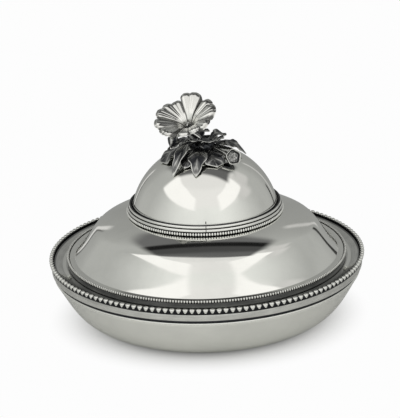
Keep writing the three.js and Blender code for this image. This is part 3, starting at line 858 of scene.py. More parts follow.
def crown_piece(s):
    angle = np.linspace(math.acos(s.crown_wall / s.crown), math.acos(s.stud_hole / s.crown), 90)
    arc = np.stack([s.crown * np.cos(angle), s.crown_centre + s.crown_rise * np.sin(angle)], 1)
    outline = np.vstack([[[s.crown_wall, s.crown_foot]], arc])
    section = np.vstack([outline, offset(outline, s.wall)[::-1]])
    place_piece("crown_shell", "cover", "crown_dome", "polished_sheet",
                lathe(rounded(section, 0.4), s.steps))


def solder_spill(s, top):
    """Solder that ran up the crown's foot in front, over the top of the mount."""
    turn = round_angles(24)
    level = top + 0.7 + 1.3 * np.sin(turn)
    lift = np.clip((level - s.crown_centre) / s.crown_rise, 0, 1)
    wall = np.minimum(s.crown * np.sqrt(1 - lift ** 2), s.crown_wall)
    return front_sleeve(np.column_stack([wall + 0.12 * np.cos(turn), level]), 0.42)


def reed_shape(s, radius, level, face, steps):
    """A plain round wire, with the solder joint in front where it meets itself."""
    def reed_shade(r, z):
        """A reed is painted darker where it lies against its neighbour, as the shade between them."""
        aside = np.abs((r - radius) * face[0] + (z - level) * face[1]) / s.reed
        return 1 - smooth_step((aside - 0.54) / 0.26)

    wire = lathe(disc_section(radius, level, s.reed, 26), steps, reed_shade)
    return merged(wire, front_sleeve(disc_section(radius, level, s.reed + 0.05, 22), 0.3))


def mount_pieces(s):
    """The sloping mount at the crown's foot, and the bead wire and two reeds that lie up its face."""
    steps = s.steps * 3 // 4
    inner, outer = s.crown_wall + s.join, s.crown_wall + s.mount_foot
    rim, top = inner + s.join, s.crown_foot + s.mount_height
    slope = (rim - outer) / s.mount_height
    mount = [(inner, s.crown_foot), (outer, s.crown_foot)]
    mount += [(rim - slope * low, top - low) for low in (0.8, 0.5, 0)]
    mount += [(inner, top)]
    # The mount is painted dark as shade under the wires that lie on it, bright only along its top edge
    shape = lathe(rounded(mount, 0.1), steps, lambda r, z: smooth_step((z - top + 0.7) / 0.5))
    place_piece("crown_base", "cover", "crown_mount", "polished_sheet",
                merged(shape, solder_spill(s, top)))
    face = np.array([rim - outer, s.mount_height])
    face /= np.linalg.norm(face)
    wires = (("crown_beads", "crown_bead_wire"), ("crown_reed_low", "crown_reed_lower"),
             ("crown_reed_high", "crown_reed_upper"))
    for i, (name, node) in enumerate(wires):
        along, proud = s.reed + i * (2 * s.reed + s.join), s.reed + s.join
        radius = outer + face[0] * along + face[1] * proud
        level = s.crown_foot + face[1] * along - face[0] * proud
        if i:
            shape = reed_shape(s, radius, level, face, steps)
        else:
            beads = bead_row(radius, level, s.crown_beads, (s.reed, s.reed * 0.84, s.reed),
                             0.0, 9, 12, 0.4, sunk=True)
            # The core under the beads is black: painted shade in the gaps between them
            shape = merged(beads, lathe(disc_section(radius - 0.4, level, s.reed * 0.75, 8), steps, 0.0))
        place_piece(name, "cover", node, "bright_wire", shape, 60)


# Screw fixing inside the crown


def stud_piece(s):
    """A threaded stud whose plain neck goes up into the hub."""
    core, depth, pitch, neck = 1.78, 0.2, 0.8, 3.0
    low = node_levels("finial_stud")[0]
    height = np.linspace(low + 0.2, s.hub_foot, 90)[:, None]
    angle = round_angles(20)
    thread = np.cos(2 * math.pi * height / pitch - angle)
    radius = core + depth * thread * smooth_step((s.hub_foot - neck - height) / 0.5)
    points, faces = closed_tube(turned_points(radius, angle, height), (0, 0, low), (0, 0, s.hub_foot))
    place_piece("stud_thread", "cover", "finial_stud", "fixing", (points, faces, np.ones(len(points))), 60)


def washer_piece():
    bore, outer = 2.3, node_reach("finial_washer")
    low, high = node_levels("finial_washer")
    washer = [(bore, low), (outer, low), (outer, high), (bore, high)]
    place_piece("washer_turned", "cover", "finial_washer", "fixing", lathe(rounded(washer, 0.25), 48))


def nut_piece():
    """A square nut with chamfered ends and its corners turned off."""
    sides, chamfer, bore, half = 32, 0.5, 2.35, node_reach("finial_nut")
    low, high = node_levels("finial_nut")
    angle = math.pi / 4 + round_angles(sides)
    flat = (half - 0.02) / np.maximum(np.abs(np.cos(angle)), np.abs(np.sin(angle)))
    square = np.minimum(flat, half * 1.36)
    rings = ((square - chamfer, low), (square, low + chamfer), (square, high - chamfer),
             (square - chamfer, high), (bore, high), (bore, low))
    points = np.vstack([turned_points(reach, angle, level) for reach, level in rings])
    faces = grid_faces(len(rings), sides, wrap=True)
    last = len(points) - sides
    faces += [[last + j, last + (j + 1) % sides, (j + 1) % sides, j] for j in range(sides)]
    place_piece("nut_square", "cover", "finial_nut", "fixing", (points, faces, np.ones(len(points))), 30)


# Leaves

# Turn and bend in degrees, reach and width in millimetres, lift of the midrib over the crown at
# root, crest and tip, fold of the halves and height of the ripple; first the leaves that lie on the
# crown, then those that stand round the stem
LOW_LEAVES = {
    "leaf_left": (188, 2, 36.0, 20.0, (1.6, 3.6, 1.6), 0.0, 1.1),
    "leaf_front_left": (238, 4, 33.0, 12.0, (1.6, 3.4, 2.0), 0.0, 0.6),
    "leaf_front": (260, 0, 38.5, 11.0, (1.6, 6.2, 1.6), 0.25, 0.4),
    "leaf_front_right": (286, 4, 32.0, 16.0, (1.6, 3.4, 1.6), 0.0, 0.9),
    "leaf_right": (3, -2, 34.5, 14.0, (1.6, 6.8, 3.6), 0.1, 0.6),
    "leaf_back_right": (44, 4, 35.0, 18.0, (1.6, 3.4, 1.6), 0.0, 0.9),
    "leaf_back": (90, -4, 37.0, 19.0, (1.6, 6.4, 1.6), 0.1, 0.9),
    "leaf_back_left": (136, 0, 35.0, 20.0, (1.6, 3.4, 1.6), 0.0, 0.9),
}
HIGH_LEAVES = {
    "leaf_upper_left": (195, 6, 26.0, 10.0, (0.0, 10.6, 8.4), 0.1, 0.6),
    "leaf_curled": (227, 4, 40.0, 7.0, (0.0, 9.2, 1.8), 0.3, 0.4),
    "leaf_rising_left": (253, -12, 19.0, 8.0, (0.0, 11.0, 13.5), 0.1, 0.5),
    "leaf_rising_right": (290, -2, 18.0, 9.0, (0.0, 9.0, 12.0), 0.2, 0.4),
    "leaf_upper_right": (334, 6, 18.0, 9.0, (0.0, 8.5, 11.5), 0.3, 0.4),
    "leaf_upper_back_right": (30, 0, 21.0, 12.0, (0.0, 10.5, 9.5), 0.2, 0.6),
    "leaf_upper_back": (106, -6, 25.0, 15.0, (0.0, 10.5, 9.5), 0.1, 0.8),
}
# Half width of a leaf at its root; heights of its midrib and veins and depth of its grooves; and
# its thickness in the middle, with how much thinner its rim is
LEAF_ROOT = 1.35
RIB_HEIGHT, VEIN_HEIGHT, GROOVE_DEPTH = 0.42, 0.36, 0.26
LEAF_THICKNESS, RIM_THINNING = 1.05, 0.45


def leaf_shape(s, leaf, root_radius, root_lift, widen, lobes, phase, shine):
    """A cast leaf with lobed edges, raised veins, grooves between them and a rim rubbed bright that also
    paints the glints along it; the leaf is darker towards its root.
    """
    turn, bend, reach, width, lift, fold, wave = leaf
    rows, columns = 64, 33
    v, u = np.meshgrid(np.linspace(0, 1, rows), np.linspace(-1, 1, columns), indexing="ij")
    outline = np.sin(math.pi * v ** 1.4)
    beat = lobes * v ** 0.9 + phase
    lobe = 1 - 0.34 * (1 - np.abs(np.sin(math.pi * beat))) ** 1.6 * smooth_step(v / 0.25)
    half = lerp(LEAF_ROOT, LEAF_ROOT * 0.4, v) + width * widen / 2 * outline * lobe
    angle = np.radians(turn + bend * v)
    along = lerp(root_radius, reach, v) + 0.16 * half * np.abs(u) * outline
    x = along * np.cos(angle) - u * half * np.sin(angle)
    y = along * np.sin(angle) + u * half * np.cos(angle)
    root = root_lift + lift[0]
    arch = lift[1] - (root + lift[2]) / 2
    middle = lerp(root, lift[2], v) + arch * np.sin(math.pi * v)
    ripple = wave * np.sin(3.5 * math.pi * v + u) * u ** 2 * outline
    frill = 0.07 * width * np.abs(u) ** 3 * np.cos(2 * math.pi * beat) * outline
    rib = bell(u, 0.1) * (1 - 0.6 * v)
    comb = np.cos(2 * math.pi * (beat - 0.55 * np.abs(u)))
    vein = np.maximum(comb, 0) ** 5 * smooth_step(np.abs(u) / 0.2) * (1 - 0.4 * np.abs(u)) * outline
    groove = np.maximum(-comb, 0) ** 3 * outline
    relief = RIB_HEIGHT * rib + VEIN_HEIGHT * vein - GROOVE_DEPTH * groove
    folded = fold * np.abs(u) * half
    z = s.crown_height(np.hypot(x, y)) + middle + ripple + frill + folded + relief
    rim = smooth_step((np.abs(u) - 0.82) / 0.18) + smooth_step((v - 0.93) / 0.07)
    rubbed = 0.35 + 0.65 * np.sin(math.pi * (2.3 * v + 0.4 * u) + 9 * phase) ** 2
    wear = 0.28 + 0.45 * rib + 0.55 * vein - 0.4 * groove + 0.85 * rim * rubbed * smooth_step(v / 0.2)
    shade = wear * shine * (0.5 + 0.5 * smooth_step(v / 0.45))
    thickness = LEAF_THICKNESS - RIM_THINNING * np.abs(u) ** 4
    return sheet(np.stack([x, y, z], -1), thickness, shade)


def leaf_pieces(s):
    generator = np.random.default_rng(SEED)
    cap_lift = s.hub_top + (s.cap_top - s.hub_top) / 2 - float(s.crown_height(s.cap))
    for leaves, root, lift, widen in (
        (LOW_LEAVES, s.hub + s.fit, 0.0, 1.22), (HIGH_LEAVES, s.cap + 2 * s.fit, cap_lift, 1.3),
    ):
        for node, leaf in leaves.items():
            lobes = 3.0 if leaf[3] > 12 else 2.5
            shape = leaf_shape(s, leaf, root, lift, widen, lobes, generator.uniform(-0.1, 0.1),
                               generator.uniform(0.8, 1.35))
            place_piece(node + "_cast", "cover", node, "oxidised_leaf", shape, 70)


def boss_piece(s):
    """The hub under the leaves: a lumpy cast boss."""
    outline = bezier((s.hub + 0.4, s.hub_foot), (s.hub + 1.2, s.hub_top + 1.5),
                     (s.cap + 1.4, s.cap_top), (0.8, s.cap_top), 26)
    section = np.vstack([[[0, s.hub_foot]], outline, [[0, s.cap_top]]])
    points, faces = lathe(section, 72)[:2]
    angle = np.arctan2(points[:, 1], points[:, 0])
    radius = np.hypot(points[:, 0], points[:, 1])
    lumps = np.sin(7 * angle + 0.6 * points[:, 2]) * np.cos(4 * angle - 1.3 * radius)
    share = smooth_step((radius - 1.0) / 4.0)
    points[:, :2] *= (1 + 0.07 * lumps * share)[:, None]
    place_piece("finial_boss", "cover", "finial_hub", "oxidised_leaf",
                (points, faces, 0.12 + 0.25 * np.maximum(lumps, 0)), 70)


# Flower


def standing(place, direction):
    """Rotation and place of a frame whose Z axis points along a direction."""
    up = np.array(direction, float)
    up /= np.linalg.norm(up)
    right = np.cross([0, 1, 0], up)
    right /= np.linalg.norm(right)
    return np.stack([right, np.cross(up, right), up], 1), np.array(place, float)


def moved(shape, stand):
    """A shape made round the Z axis, turned and placed in such a frame."""
    turn, place = stand
    return shape[0] @ turn.T + place, shape[1], shape[2]


# The flower's lean to the side, its tilt to the front, its turn round its own axis and the half
# angle of its cone, in degrees, and its throat's radius
BLOOM_LEAN, BLOOM_TILT, BLOOM_TURN, BLOOM_CONE = -11.2, 27.6, 53.5, 65.0
THROAT = 1.6
# Petals: length, then its lobes as centre and half width in shares of the half petal, and reach
PETALS = (
    (27.19, ((-0.66, 0.4, 1.04), (0.28, 0.42, 1.09), (0.7, 0.34, 1.06))),
    (28.0, ((-0.48, 0.5, 0.89), (0.12, 0.4, 0.97), (0.66, 0.44, 1.02))),
    (28.5, ((-0.46, 0.52, 1.03), (0.42, 0.54, 1.01))),
    (23.49, ((-0.45, 0.5, 0.95), (0.45, 0.5, 0.9))),
    (29.01, ((-0.52, 0.5, 0.84), (0.44, 0.56, 0.97))),
)
CALYX, CALYX_LENGTH, CALYX_HOLLOW, STEM = 5.2, 6.5, 6.2, 2.2


def bloom_stand(s):
    """The place of the flower's throat and the direction of its axis."""
    lean, tilt = math.radians(BLOOM_LEAN), math.radians(BLOOM_TILT)
    axis = np.array([math.sin(lean), -math.sin(tilt) * math.cos(lean), math.cos(tilt) * math.cos(lean)])
    return np.array([-11.2, -4.0, s.cap_top + 14.0]), axis


def petal_shape(turn, length, lobes, phase):
    """A petal of a few lobes with creases between them, rising from a deep throat: its lobes are rubbed
    bright with painted highlight, also at its very edge, with painted shade in the creases, the throat
    and on its rolled-back tip.
    """
    rows, columns = 60, 79
    v, u = np.meshgrid(np.linspace(0, 1, rows), np.linspace(-1, 1, columns), indexing="ij")
    cone = math.radians(BLOOM_CONE)
    reach_full, depth = length * math.sin(cone), length * math.cos(cone)
    angle = turn + np.radians(lerp(36.5, 40.0, np.minimum(v * 1.2, 1))) * u
    edge, hump = np.full_like(u, 0.6), np.zeros_like(u)
    for centre, width, share in lobes:
        away = np.abs((u - centre) / width)
        edge = np.maximum(edge, share * (1 - 0.13 * away ** 2.4))
        hump = np.maximum(hump, np.sqrt(np.clip(1 - away ** 2, 0, 1)))
    reach = reach_full * edge
    radius = lerp(THROAT, reach, v)
    share = np.maximum(radius - THROAT, 0) / (reach_full - THROAT)
    swell = np.sin(math.pi * np.clip(v * 0.62, 0, 1))
    roll = smooth_step((v - 0.74) / 0.26)
    ribs = np.cos(2 * math.pi * (4.3 * u + 0.9 * u * u) + phase) + 0.6 * np.cos(17.0 * u + 2.2 * phase)
    height = depth * np.minimum(share, 1) ** 0.85 - 5.6 * np.clip(1 - v / 0.42, 0, 1) ** 2
    height += 1.25 * v * u + 2.3 * (hump - 0.6) * swell - 2.5 * roll ** 2 + 0.11 * ribs * swell
    radius = radius - 0.6 * roll ** 3
    # Painted highlight on the lobes and at the very edge; painted shade in the creases, at the sides, in the
    # throat and on the rolled-back tip
    wear = 1.35 * smooth_step((hump - 0.4) / 0.45) - 0.3 + 0.18 * ribs * (1 - roll)
    wear -= 0.5 * bell(np.abs(u) - 1, 0.07) + 0.95 * bell(v, 0.24)
    wear += 0.45 * smooth_step((v - 0.975) / 0.02) - 0.6 * smooth_step((v - 0.82) / 0.1)
    return sheet(turned_points(radius, angle, height), 1.0 - 0.25 * roll, wear)


def petal_pieces(s):
    stand = standing(*bloom_stand(s))
    for i, (length, lobes) in enumerate(PETALS):
        shape = petal_shape(math.radians(BLOOM_TURN + i * 72), length, lobes, 1.7 * i)
        place_piece("petal_%d_cast" % (i + 1), "cover", "petal_%d" % (i + 1), "cast_petal",
                    moved(shape, stand), 70)


def heart_piece(s):
    """The eye of the flower: a knobbed pistil with five stamens round it."""
    pistil = [(0, -0.8), (1.2, -0.8), (0.9, 1.6), (1.5, 2.6), (1.0, 3.4), (0, 3.5)]
    heart = [lathe(rounded(pistil, 0.4), 16, 0.3)]
    for i in range(5):
        side = math.radians(36 + 72 * i)
        out = np.array([math.cos(side), math.sin(side), 0])
        path = spline([out * 1.2 + [0, 0, 0.2], out * 1.8 + [0, 0, 1.3], out * 2.3 + [0, 0, 2.4]], 8)
        heart.append(swept(path, np.linspace(0.4, 0.6, 8), 8))
    place_piece("bloom_heart", "cover", "bloom_eye", "cast_petal",
                moved(merged(*heart), standing(*bloom_stand(s))), 70)


def calyx_piece(s):
    """The cup behind the petals, with the tips of five sepals on its rim."""
    v, angle = tube_grid(26, 60)
    sepal = np.cos(5 * (angle - math.radians(BLOOM_TURN)))
    radius = lerp(STEM + 0.2, CALYX, smooth_step(v ** 0.8)) * (1 + 0.07 * sepal * v)
    level = lerp(-CALYX_LENGTH, 0.2, v) + 0.9 * v ** 3 * sepal
    skin = turned_points(radius, angle, level)
    points, faces = closed_tube(skin, (0, 0, -CALYX_LENGTH), (0, 0, -CALYX_HOLLOW))
    wear = np.concatenate([(0.25 + 0.3 * np.maximum(sepal, 0) * v).reshape(-1), [0.1, 0.1]])
    place_piece("calyx_cast", "cover", "calyx", "oxidised_leaf",
                moved((points, faces, wear), standing(*bloom_stand(s))), 70)


def stem_piece(s):
    throat, axis = bloom_stand(s)
    start = np.array([-s.cap + STEM + 0.2, 0, s.cap_top + 0.1])
    path = spline([start, start + [0, 0, 1.6], throat + axis * (-CALYX_LENGTH - 1.9),
                   throat + axis * (-CALYX_LENGTH - 0.1)], 24)
    place_piece("stem_cast", "cover", "bloom_stem", "oxidised_leaf",
                swept(path, np.linspace(2.3, 2.1, 24), 20, 5, 0.09, 2.0), 70)


# Bud and seed pod


def bud_pieces(s):
    """The furrowed bud that hangs at the left, and the twig that arches over to it."""
    top = np.array([-22.2, -2.0, s.cap_top + 6.9])
    stand = standing(top, (0.35, 0.31, 0.88))
    length = 12.0
    v, angle = tube_grid(44, 48)
    profile = np.interp(v, [0, 0.06, 0.22, 0.5, 0.8, 0.94, 1], [0.2, 1.0, 2.6, 4.15, 3.4, 2.2, 1.2])
    furrow = np.cos(4 * angle + 3.4 * v)
    radius = profile * (1 + 0.09 * furrow * np.sin(math.pi * v) ** 0.5)
    skin = turned_points(radius, angle, length * (v - 1))
    points, faces = closed_tube(skin, (0, 0, -length - 0.1), (0, 0, 0))
    wear = np.concatenate([(0.34 + 0.4 * furrow).reshape(-1), [0.3, 0.1]])
    place_piece("bud_cast", "cover", "bud_left", "oxidised_leaf", moved((points, faces, wear), stand), 70)
    side = math.radians(155)
    hold = s.cap + s.fit
    foot = np.array([hold * math.cos(side), hold * math.sin(side), (s.hub_top + s.cap_top) / 2])
    path = spline([
        foot * [0.9, 0.9, 1], foot * [1.4, 1.4, 1], (top[0] * 0.7, top[1] + 5.6, top[2] - 1.1),
        (top[0] * 0.89, top[1] + 1.6, top[2] + 1.6), (top[0] + 0.3, top[1] + 0.3, top[2] + 0.7)], 34)
    place_piece("bud_twig", "cover", "bud_left_twig", "oxidised_leaf",
                swept(path, np.linspace(1.15, 1.0, 34), 12, 4, 0.08, 5.0), 70)


def pod_pieces(s):
    """The five-sided seed pod that faces the front, and its twig along the crown."""
    out, front = 24.4, 24.0
    mouth = np.array([out, -front, float(s.crown_height(math.hypot(out, front))) + 9.3])
    axis = np.array([0.35, -0.85, 0.4])
    axis /= np.linalg.norm(axis)
    stand = standing(mouth, axis)
    v, angle = tube_grid(48, 60)
    stations = [0.0, 0.14, 0.3, 0.46, 0.52, 0.58, 0.72, 0.88, 1.0]
    girth = np.interp(v, stations, [0.3, 3.9, 6.0, 6.35, 5.95, 5.3, 4.9, 3.4, 0.2])
    level = np.interp(v, stations, [-7.0, -5.9, -3.1, -0.3, 0.1, -0.5, -2.6, -3.7, -3.9])
    corner = np.cos(5 * angle + 0.7) * smooth_step(girth / 5) * 0.06
    radius = girth * (1 + corner)
    seeds = np.cos(radius * 2.7) * np.cos(angle * 6) * smooth_step((v - 0.74) / 0.08)
    skin = turned_points(radius, angle, level + 0.35 * seeds)
    points, faces = closed_tube(skin, (0, 0, -7.0), (0, 0, -3.8))
    rim = bell(v - 0.5, 0.09)
    wear = 0.22 + 0.8 * rim + 0.3 * np.maximum(seeds, 0) + 0.25 * smooth_step((v - 0.74) / 0.1)
    place_piece("pod_cup", "cover", "seed_pod", "oxidised_leaf",
                moved((points, faces, np.concatenate([wear.reshape(-1), [0.1, 0.3]])), stand), 70)
    end = mouth - axis * 7.3
    hold, turn = s.hub + s.fit, math.radians(-36)
    far, far_turn = math.hypot(end[0], end[1]), math.atan2(end[1], end[0])
    lift = (s.hub_top - 1.1 - float(s.crown_height(hold)), end[2] - float(s.crown_height(far)))
    path = []
    for share in (0, 0.2, 0.45, 0.7):
        reach, side = lerp(hold, far, share), lerp(turn, far_turn, share)
        path.append((reach * math.cos(side), reach * math.sin(side),
                     float(s.crown_height(reach)) + lerp(lift[0], lift[1], share)))
    path = spline([*path, end - axis * 1.6, end + axis * 0.2], 30)
    place_piece("pod_twig", "cover", "seed_pod_twig", "oxidised_leaf",
                swept(path, 1.1, 12, 4, 0.08, 4.0), 70)


# Studio


def panel_group():
    """Mask of a light panel between two azimuths and two elevations, in degrees."""
    group, tree, given, out = new_group(
        "studio panel",
        [(name, "NodeSocketFloat", value) for name, value in (
            ("Azimuth", 0.0), ("Elevation", 0.0), ("Left", -10.0), ("Right", 10.0), ("Low", 0.0),
            ("High", 10.0), ("Soft Side", 2.0), ("Soft Level", 2.0))],
        [("Mask", "NodeSocketFloat", None)],
    )

    def edge(value, at, soft):
        return tree.span(value, tree.math("SUBTRACT", at, soft), tree.math("ADD", at, soft))

    sockets = given.outputs
    masks = []
    for value, low, high, soft in (("Azimuth", "Left", "Right", "Soft Side"),
                                   ("Elevation", "Low", "High", "Soft Level")):
        rise = edge(sockets[value], sockets[low], sockets[soft])
        fall = tree.math("SUBTRACT", 1.0, edge(sockets[value], sockets[high], sockets[soft]))
        masks.append(tree.math("MULTIPLY", rise, fall))
    tree.put(out, "Mask", tree.math("MULTIPLY", *masks))
    return group


# The light tent is a dome of cloth round a point over the table: its radius and that point's height
# in metres, and the cloth's tint. Then the level of its walls by the angle from the viewer, in
# degrees
TENT_RADIUS, TENT_CENTRE = 0.31, 0.06
CLOTH_TINT = (1.0, 1.012, 0.98)
WALL_LEVELS = (
    (0, 0.83), (14, 0.86), (25, 0.855), (35, 0.82), (45, 0.765), (55, 0.705), (65, 0.63), (75, 0.56),
    (85, 0.5), (95, 0.45), (107, 0.455), (118, 0.45), (128, 0.39), (140, 0.345), (156, 0.305), (180, 0.33),
)
# Panels of the tent in degrees: left, right, low, high, side softness, level softness, level,
# how much their height climbs with the angle from the viewer, then the same climb of a cut
# through the upper edge and the cut's height in front
TENT_PANELS = (
    (-94, 100, 58, 96, 6, 4, 0.82, 0, 0, 200),
    (-46, 56, 36, 60, 8, 5, 0.87, 0, 0, 200),
    (66, 92, 33, 60, 9, 3, 0.66, 0, 0, 200),
    (-90, -17, 30, 52.5, 4, 1.6, 1.05, 0.13, 0.4, 41),
    (24, 80, 23.4, 43, 4, 1.6, 1.05, 0.28, 0.4, 41),
    (88, 110, 41, 56, 5, 3, 0.62, 0, 0, 200),
    (128.5, 132, -12, 14, 0.5, 2, 0.04, 0, 0, 200),
    (136.5, 139.5, 2, 38, 0.8, 3, 0.6, 0, 0, 200),
    (-143.5, -140, -14, 24, 0.8, 3, 0.72, 0, 0, 200),
    (-139.5, -137.5, -14, 20, 0.6, 3, 0.14, 0, 0, 200),
)
# The open top behind the front cloth, as shares of the radius: half width, front, back, how much it
# widens to the back, how far it is askew and the softness of its edges. Then the elevations, in
# degrees, over which it begins, and the steps of what lies over it as start, end and change of level
TENT_TOP = (0.465, -0.12, 0.46, 0.2, 0.22, 0.05)
TOP_BEGINS = (40.0, 52.0)
TOP_STEPS = ((-0.6, -0.5, 0.13), (0.0, 0.1, -0.062), (0.17, 0.21, -0.056), (0.26, 0.3, 0.138))


def tent_mesh():
    """A dome that stands on the floor, closed at the top, whose faces look inward."""
    rows, sides = 26, 72
    rise = np.linspace(math.asin(-TENT_CENTRE / TENT_RADIUS), math.pi / 2 - 0.02, rows)[:, None]
    shell = turned_points(np.cos(rise), round_angles(sides), np.sin(rise)).reshape(-1, 3) * TENT_RADIUS
    faces = [face[::-1] for face in grid_faces(rows, sides, wrap=True)]
    top = len(shell)
    faces += [[top, top - sides + (j + 1) % sides, top - sides + j] for j in range(sides)]
    mesh = bpy.data.meshes.new("light_tent")
    mesh.from_pydata([*shell.tolist(), (0.0, 0.0, TENT_RADIUS)], [], faces)
    return mesh


def tent_cloth(stage):
    """The tent's glow: its walls, then its panels, then its open top."""
    material = bpy.data.materials.new("lit tent cloth")
    material.use_nodes = True
    material.node_tree.nodes.clear()
    tree = Tree(material.node_tree)
    place = tree.add("ShaderNodeTexCoord").outputs["Object"]
    unit = tree.add("ShaderNodeVectorMath", {"operation": "NORMALIZE"}, _0=place).outputs[0]
    way = tree.add("ShaderNodeSeparateXYZ", _0=unit).outputs
    level = tree.math("MULTIPLY", tree.math("ARCSINE", way[2]), math.degrees(1))
    ahead = tree.math("MULTIPLY", way[1], -1.0)
    azimuth = tree.math("MULTIPLY", tree.math("ARCTAN2", way[0], ahead), math.degrees(1))
    turned = tree.math("ABSOLUTE", azimuth)
    ramp = tree.add("ShaderNodeValToRGB", _0=tree.math("DIVIDE", turned, 180.0))
    stops = ramp.color_ramp.elements
    while len(stops) < len(WALL_LEVELS):
        stops.new(0.5)
    for stop, (angle, value) in zip(stops, WALL_LEVELS):
        stop.position = angle / 180
        stop.color = shade_of(CLOTH_TINT, value)
    color = ramp.outputs[0]

    panel = panel_group()
    for left, right, low, high, soft_side, soft_level, value, climb, cut, start in TENT_PANELS:
        raised = tree.math("SUBTRACT", level, tree.math("MULTIPLY", turned, climb))
        node = tree.add("ShaderNodeGroup", {"node_tree": panel}, Azimuth=azimuth, Elevation=raised,
                        Left=left, Right=right, Low=low, High=high,
                        Soft_Side=soft_side, Soft_Level=soft_level)
        above = tree.math("SUBTRACT", level, tree.math("MULTIPLY", turned, cut))
        mask = tree.math("MULTIPLY", node.outputs[0], tree.span(above, start - 2, start + 2, 1.0, 0.0))
        color = tree.mix(mask, color, shade_of(stage.lamp_color, value))

    width, front, back, widening, askew, soft = TENT_TOP
    wider = tree.math("MULTIPLY", tree.math("MAXIMUM", way[1], 0.0), widening)
    across = tree.math("SUBTRACT", tree.math("ABSOLUTE", way[0]), wider)
    behind = tree.math("ADD", way[1], tree.math("MULTIPLY", way[0], askew))
    node = tree.add("ShaderNodeGroup", {"node_tree": panel}, Azimuth=across, Elevation=behind,
                    Left=-2.0, Right=width, Low=front, High=back, Soft_Side=soft, Soft_Level=soft)
    over = tree.math("MULTIPLY", node.outputs[0], tree.span(level, *TOP_BEGINS))
    top_level = 0.0
    for start, end, change in TOP_STEPS:
        top_level = tree.math("ADD", top_level, tree.span(way[1], start, end, 0.0, change))
    grey = tree.add("ShaderNodeCombineColor", _0=top_level, _1=top_level, _2=top_level)
    color = tree.mix(over, color, grey.outputs[0])
    light = tree.add("ShaderNodeEmission", Color=color, Strength=1.0)
    tree.put(tree.add("ShaderNodeOutputMaterial"), "Surface", light.outputs[0])
    return material


def studio_tent(stage):
    """The cloth dome that lights the dish and shows in its polish."""
    mesh = tent_mesh()
    mesh.materials.append(tent_cloth(stage))
    tent = bpy.data.objects.new("light_tent", mesh)
    tent.location.z = TENT_CENTRE
    tent.visible_camera = False
    bpy.context.scene.collection.objects.link(tent)


def studio_world(stage):
    """A plain world behind the tent: the backdrop's colour for the camera."""
    world = bpy.data.worlds.new("studio")
    bpy.context.scene.world = world
    world.use_nodes = True
    world.node_tree.nodes.clear()
    tree = Tree(world.node_tree)
    seen = tree.add("ShaderNodeLightPath").outputs["Is Camera Ray"]
    color = tree.mix(seen, (0.5, 0.5, 0.5, 1), shade_of(stage.backdrop, 1.0))
    light = tree.add("ShaderNodeBackground", Color=color, Strength=1.0)
    tree.put(tree.add("ShaderNodeOutputWorld"), "Surface", light.outputs[0])


# The floor lies this far under the dish, in metres. A painted contact shadow darkens the paper's
# colour by a share up to a near distance from the Z axis and not at all from a far one, and the
# shadow is an oval
FLOOR_GAP = 0.0003
CONTACT_SHADOW_NEAR, CONTACT_SHADOW_FAR, CONTACT_SHADOW_SHARE = 0.072, 0.098, 0.5
SHADOW_WIDTH = 0.965


def studio_floor(stage):
    """White paper with a painted contact shadow at the dish's foot, and a glow seen only by the camera
    that fades in away from the dish, painting the shadow's soft edge, to meet the backdrop.
    """
    rings, sides = np.array([0.1, 0.2, 0.4, 0.9, 2.0, 6.0])[:, None], 48
    points = turned_points(rings, round_angles(sides), 0.0).reshape(-1, 3)
    faces = [[0, 1 + j, 1 + (j + 1) % sides] for j in range(sides)]
    faces += [face[::-1] for face in grid_faces(len(rings), sides, 1, wrap=True)]
    mesh = bpy.data.meshes.new("floor")
    mesh.from_pydata([(0.0, 0.0, 0.0), *points.tolist()], [], faces)
    floor = bpy.data.objects.new("floor", mesh)
    floor.location.z = -FLOOR_GAP
    bpy.context.scene.collection.objects.link(floor)

    material = bpy.data.materials.new("studio paper")
    material.use_nodes = True
    tree = Tree(material.node_tree)
    shader = material.node_tree.nodes["Principled BSDF"]
    place = tree.add("ShaderNodeTexCoord").outputs["Object"]
    oval = tree.add("ShaderNodeMapping", Vector=place)
    oval.inputs["Scale"].default_value = (SHADOW_WIDTH, 1.0, 1.0)
    distance = tree.add("ShaderNodeVectorMath", {"operation": "LENGTH"}, _0=oval.outputs[0]).outputs["Value"]
    seen = tree.add("ShaderNodeLightPath").outputs["Is Camera Ray"]
    # Glow seen only by the camera, fading in away from the dish: it paints the shadow's soft edge
    white = tree.math("MULTIPLY", tree.span(distance, stage.shadow_start, stage.shadow_end), seen)
    grain = tree.math("MULTIPLY", tree.noise(place, 900.0, 3.0), 0.012)
    # Painted contact shadow: the paper's own colour is darkened near the dish's foot
    painted_contact_shadow = tree.span(distance, CONTACT_SHADOW_NEAR, CONTACT_SHADOW_FAR, CONTACT_SHADOW_SHARE, 0.0)
    paper = tree.mix(tree.math("ADD", grain, painted_contact_shadow), shade_of(stage.floor_color, 1.0), (0.1, 0.1, 0.1, 1))
    tree.put(shader, "Base Color", tree.mix(white, paper, (0, 0, 0, 1)))
    tree.put(shader, "Roughness", 0.9)
    shader.inputs["Specular IOR Level"].default_value = 0.0
    tree.put(shader, "Emission Color", shade_of(stage.backdrop, 1.0))
    tree.put(shader, "Emission Strength", white)
    mesh.materials.append(material)


def studio_camera(stage):
    camera = bpy.data.cameras.new("camera")
    camera.lens = stage.lens
    camera.sensor_width = 36.0
    camera.clip_start, camera.clip_end = 0.1, 30.0
    eye = bpy.data.objects.new("camera", camera)
    rise, roll = stage.elevation, stage.roll
    forward = Vector((0, math.cos(rise), -math.sin(rise)))
    right = forward.cross(Vector((0, 0, 1))).normalized()
    up = right.cross(forward)
    across = right * math.cos(roll) + up * math.sin(roll)
    above = up * math.cos(roll) - right * math.sin(roll)
    turn = Matrix((across, above, -forward)).transposed().to_4x4()
    target = Vector(stage.target)
    eye.matrix_world = Matrix.Translation(target - forward * stage.distance) @ turn
    bpy.context.scene.collection.objects.link(eye)
    bpy.context.scene.camera = eye


# What a user would change


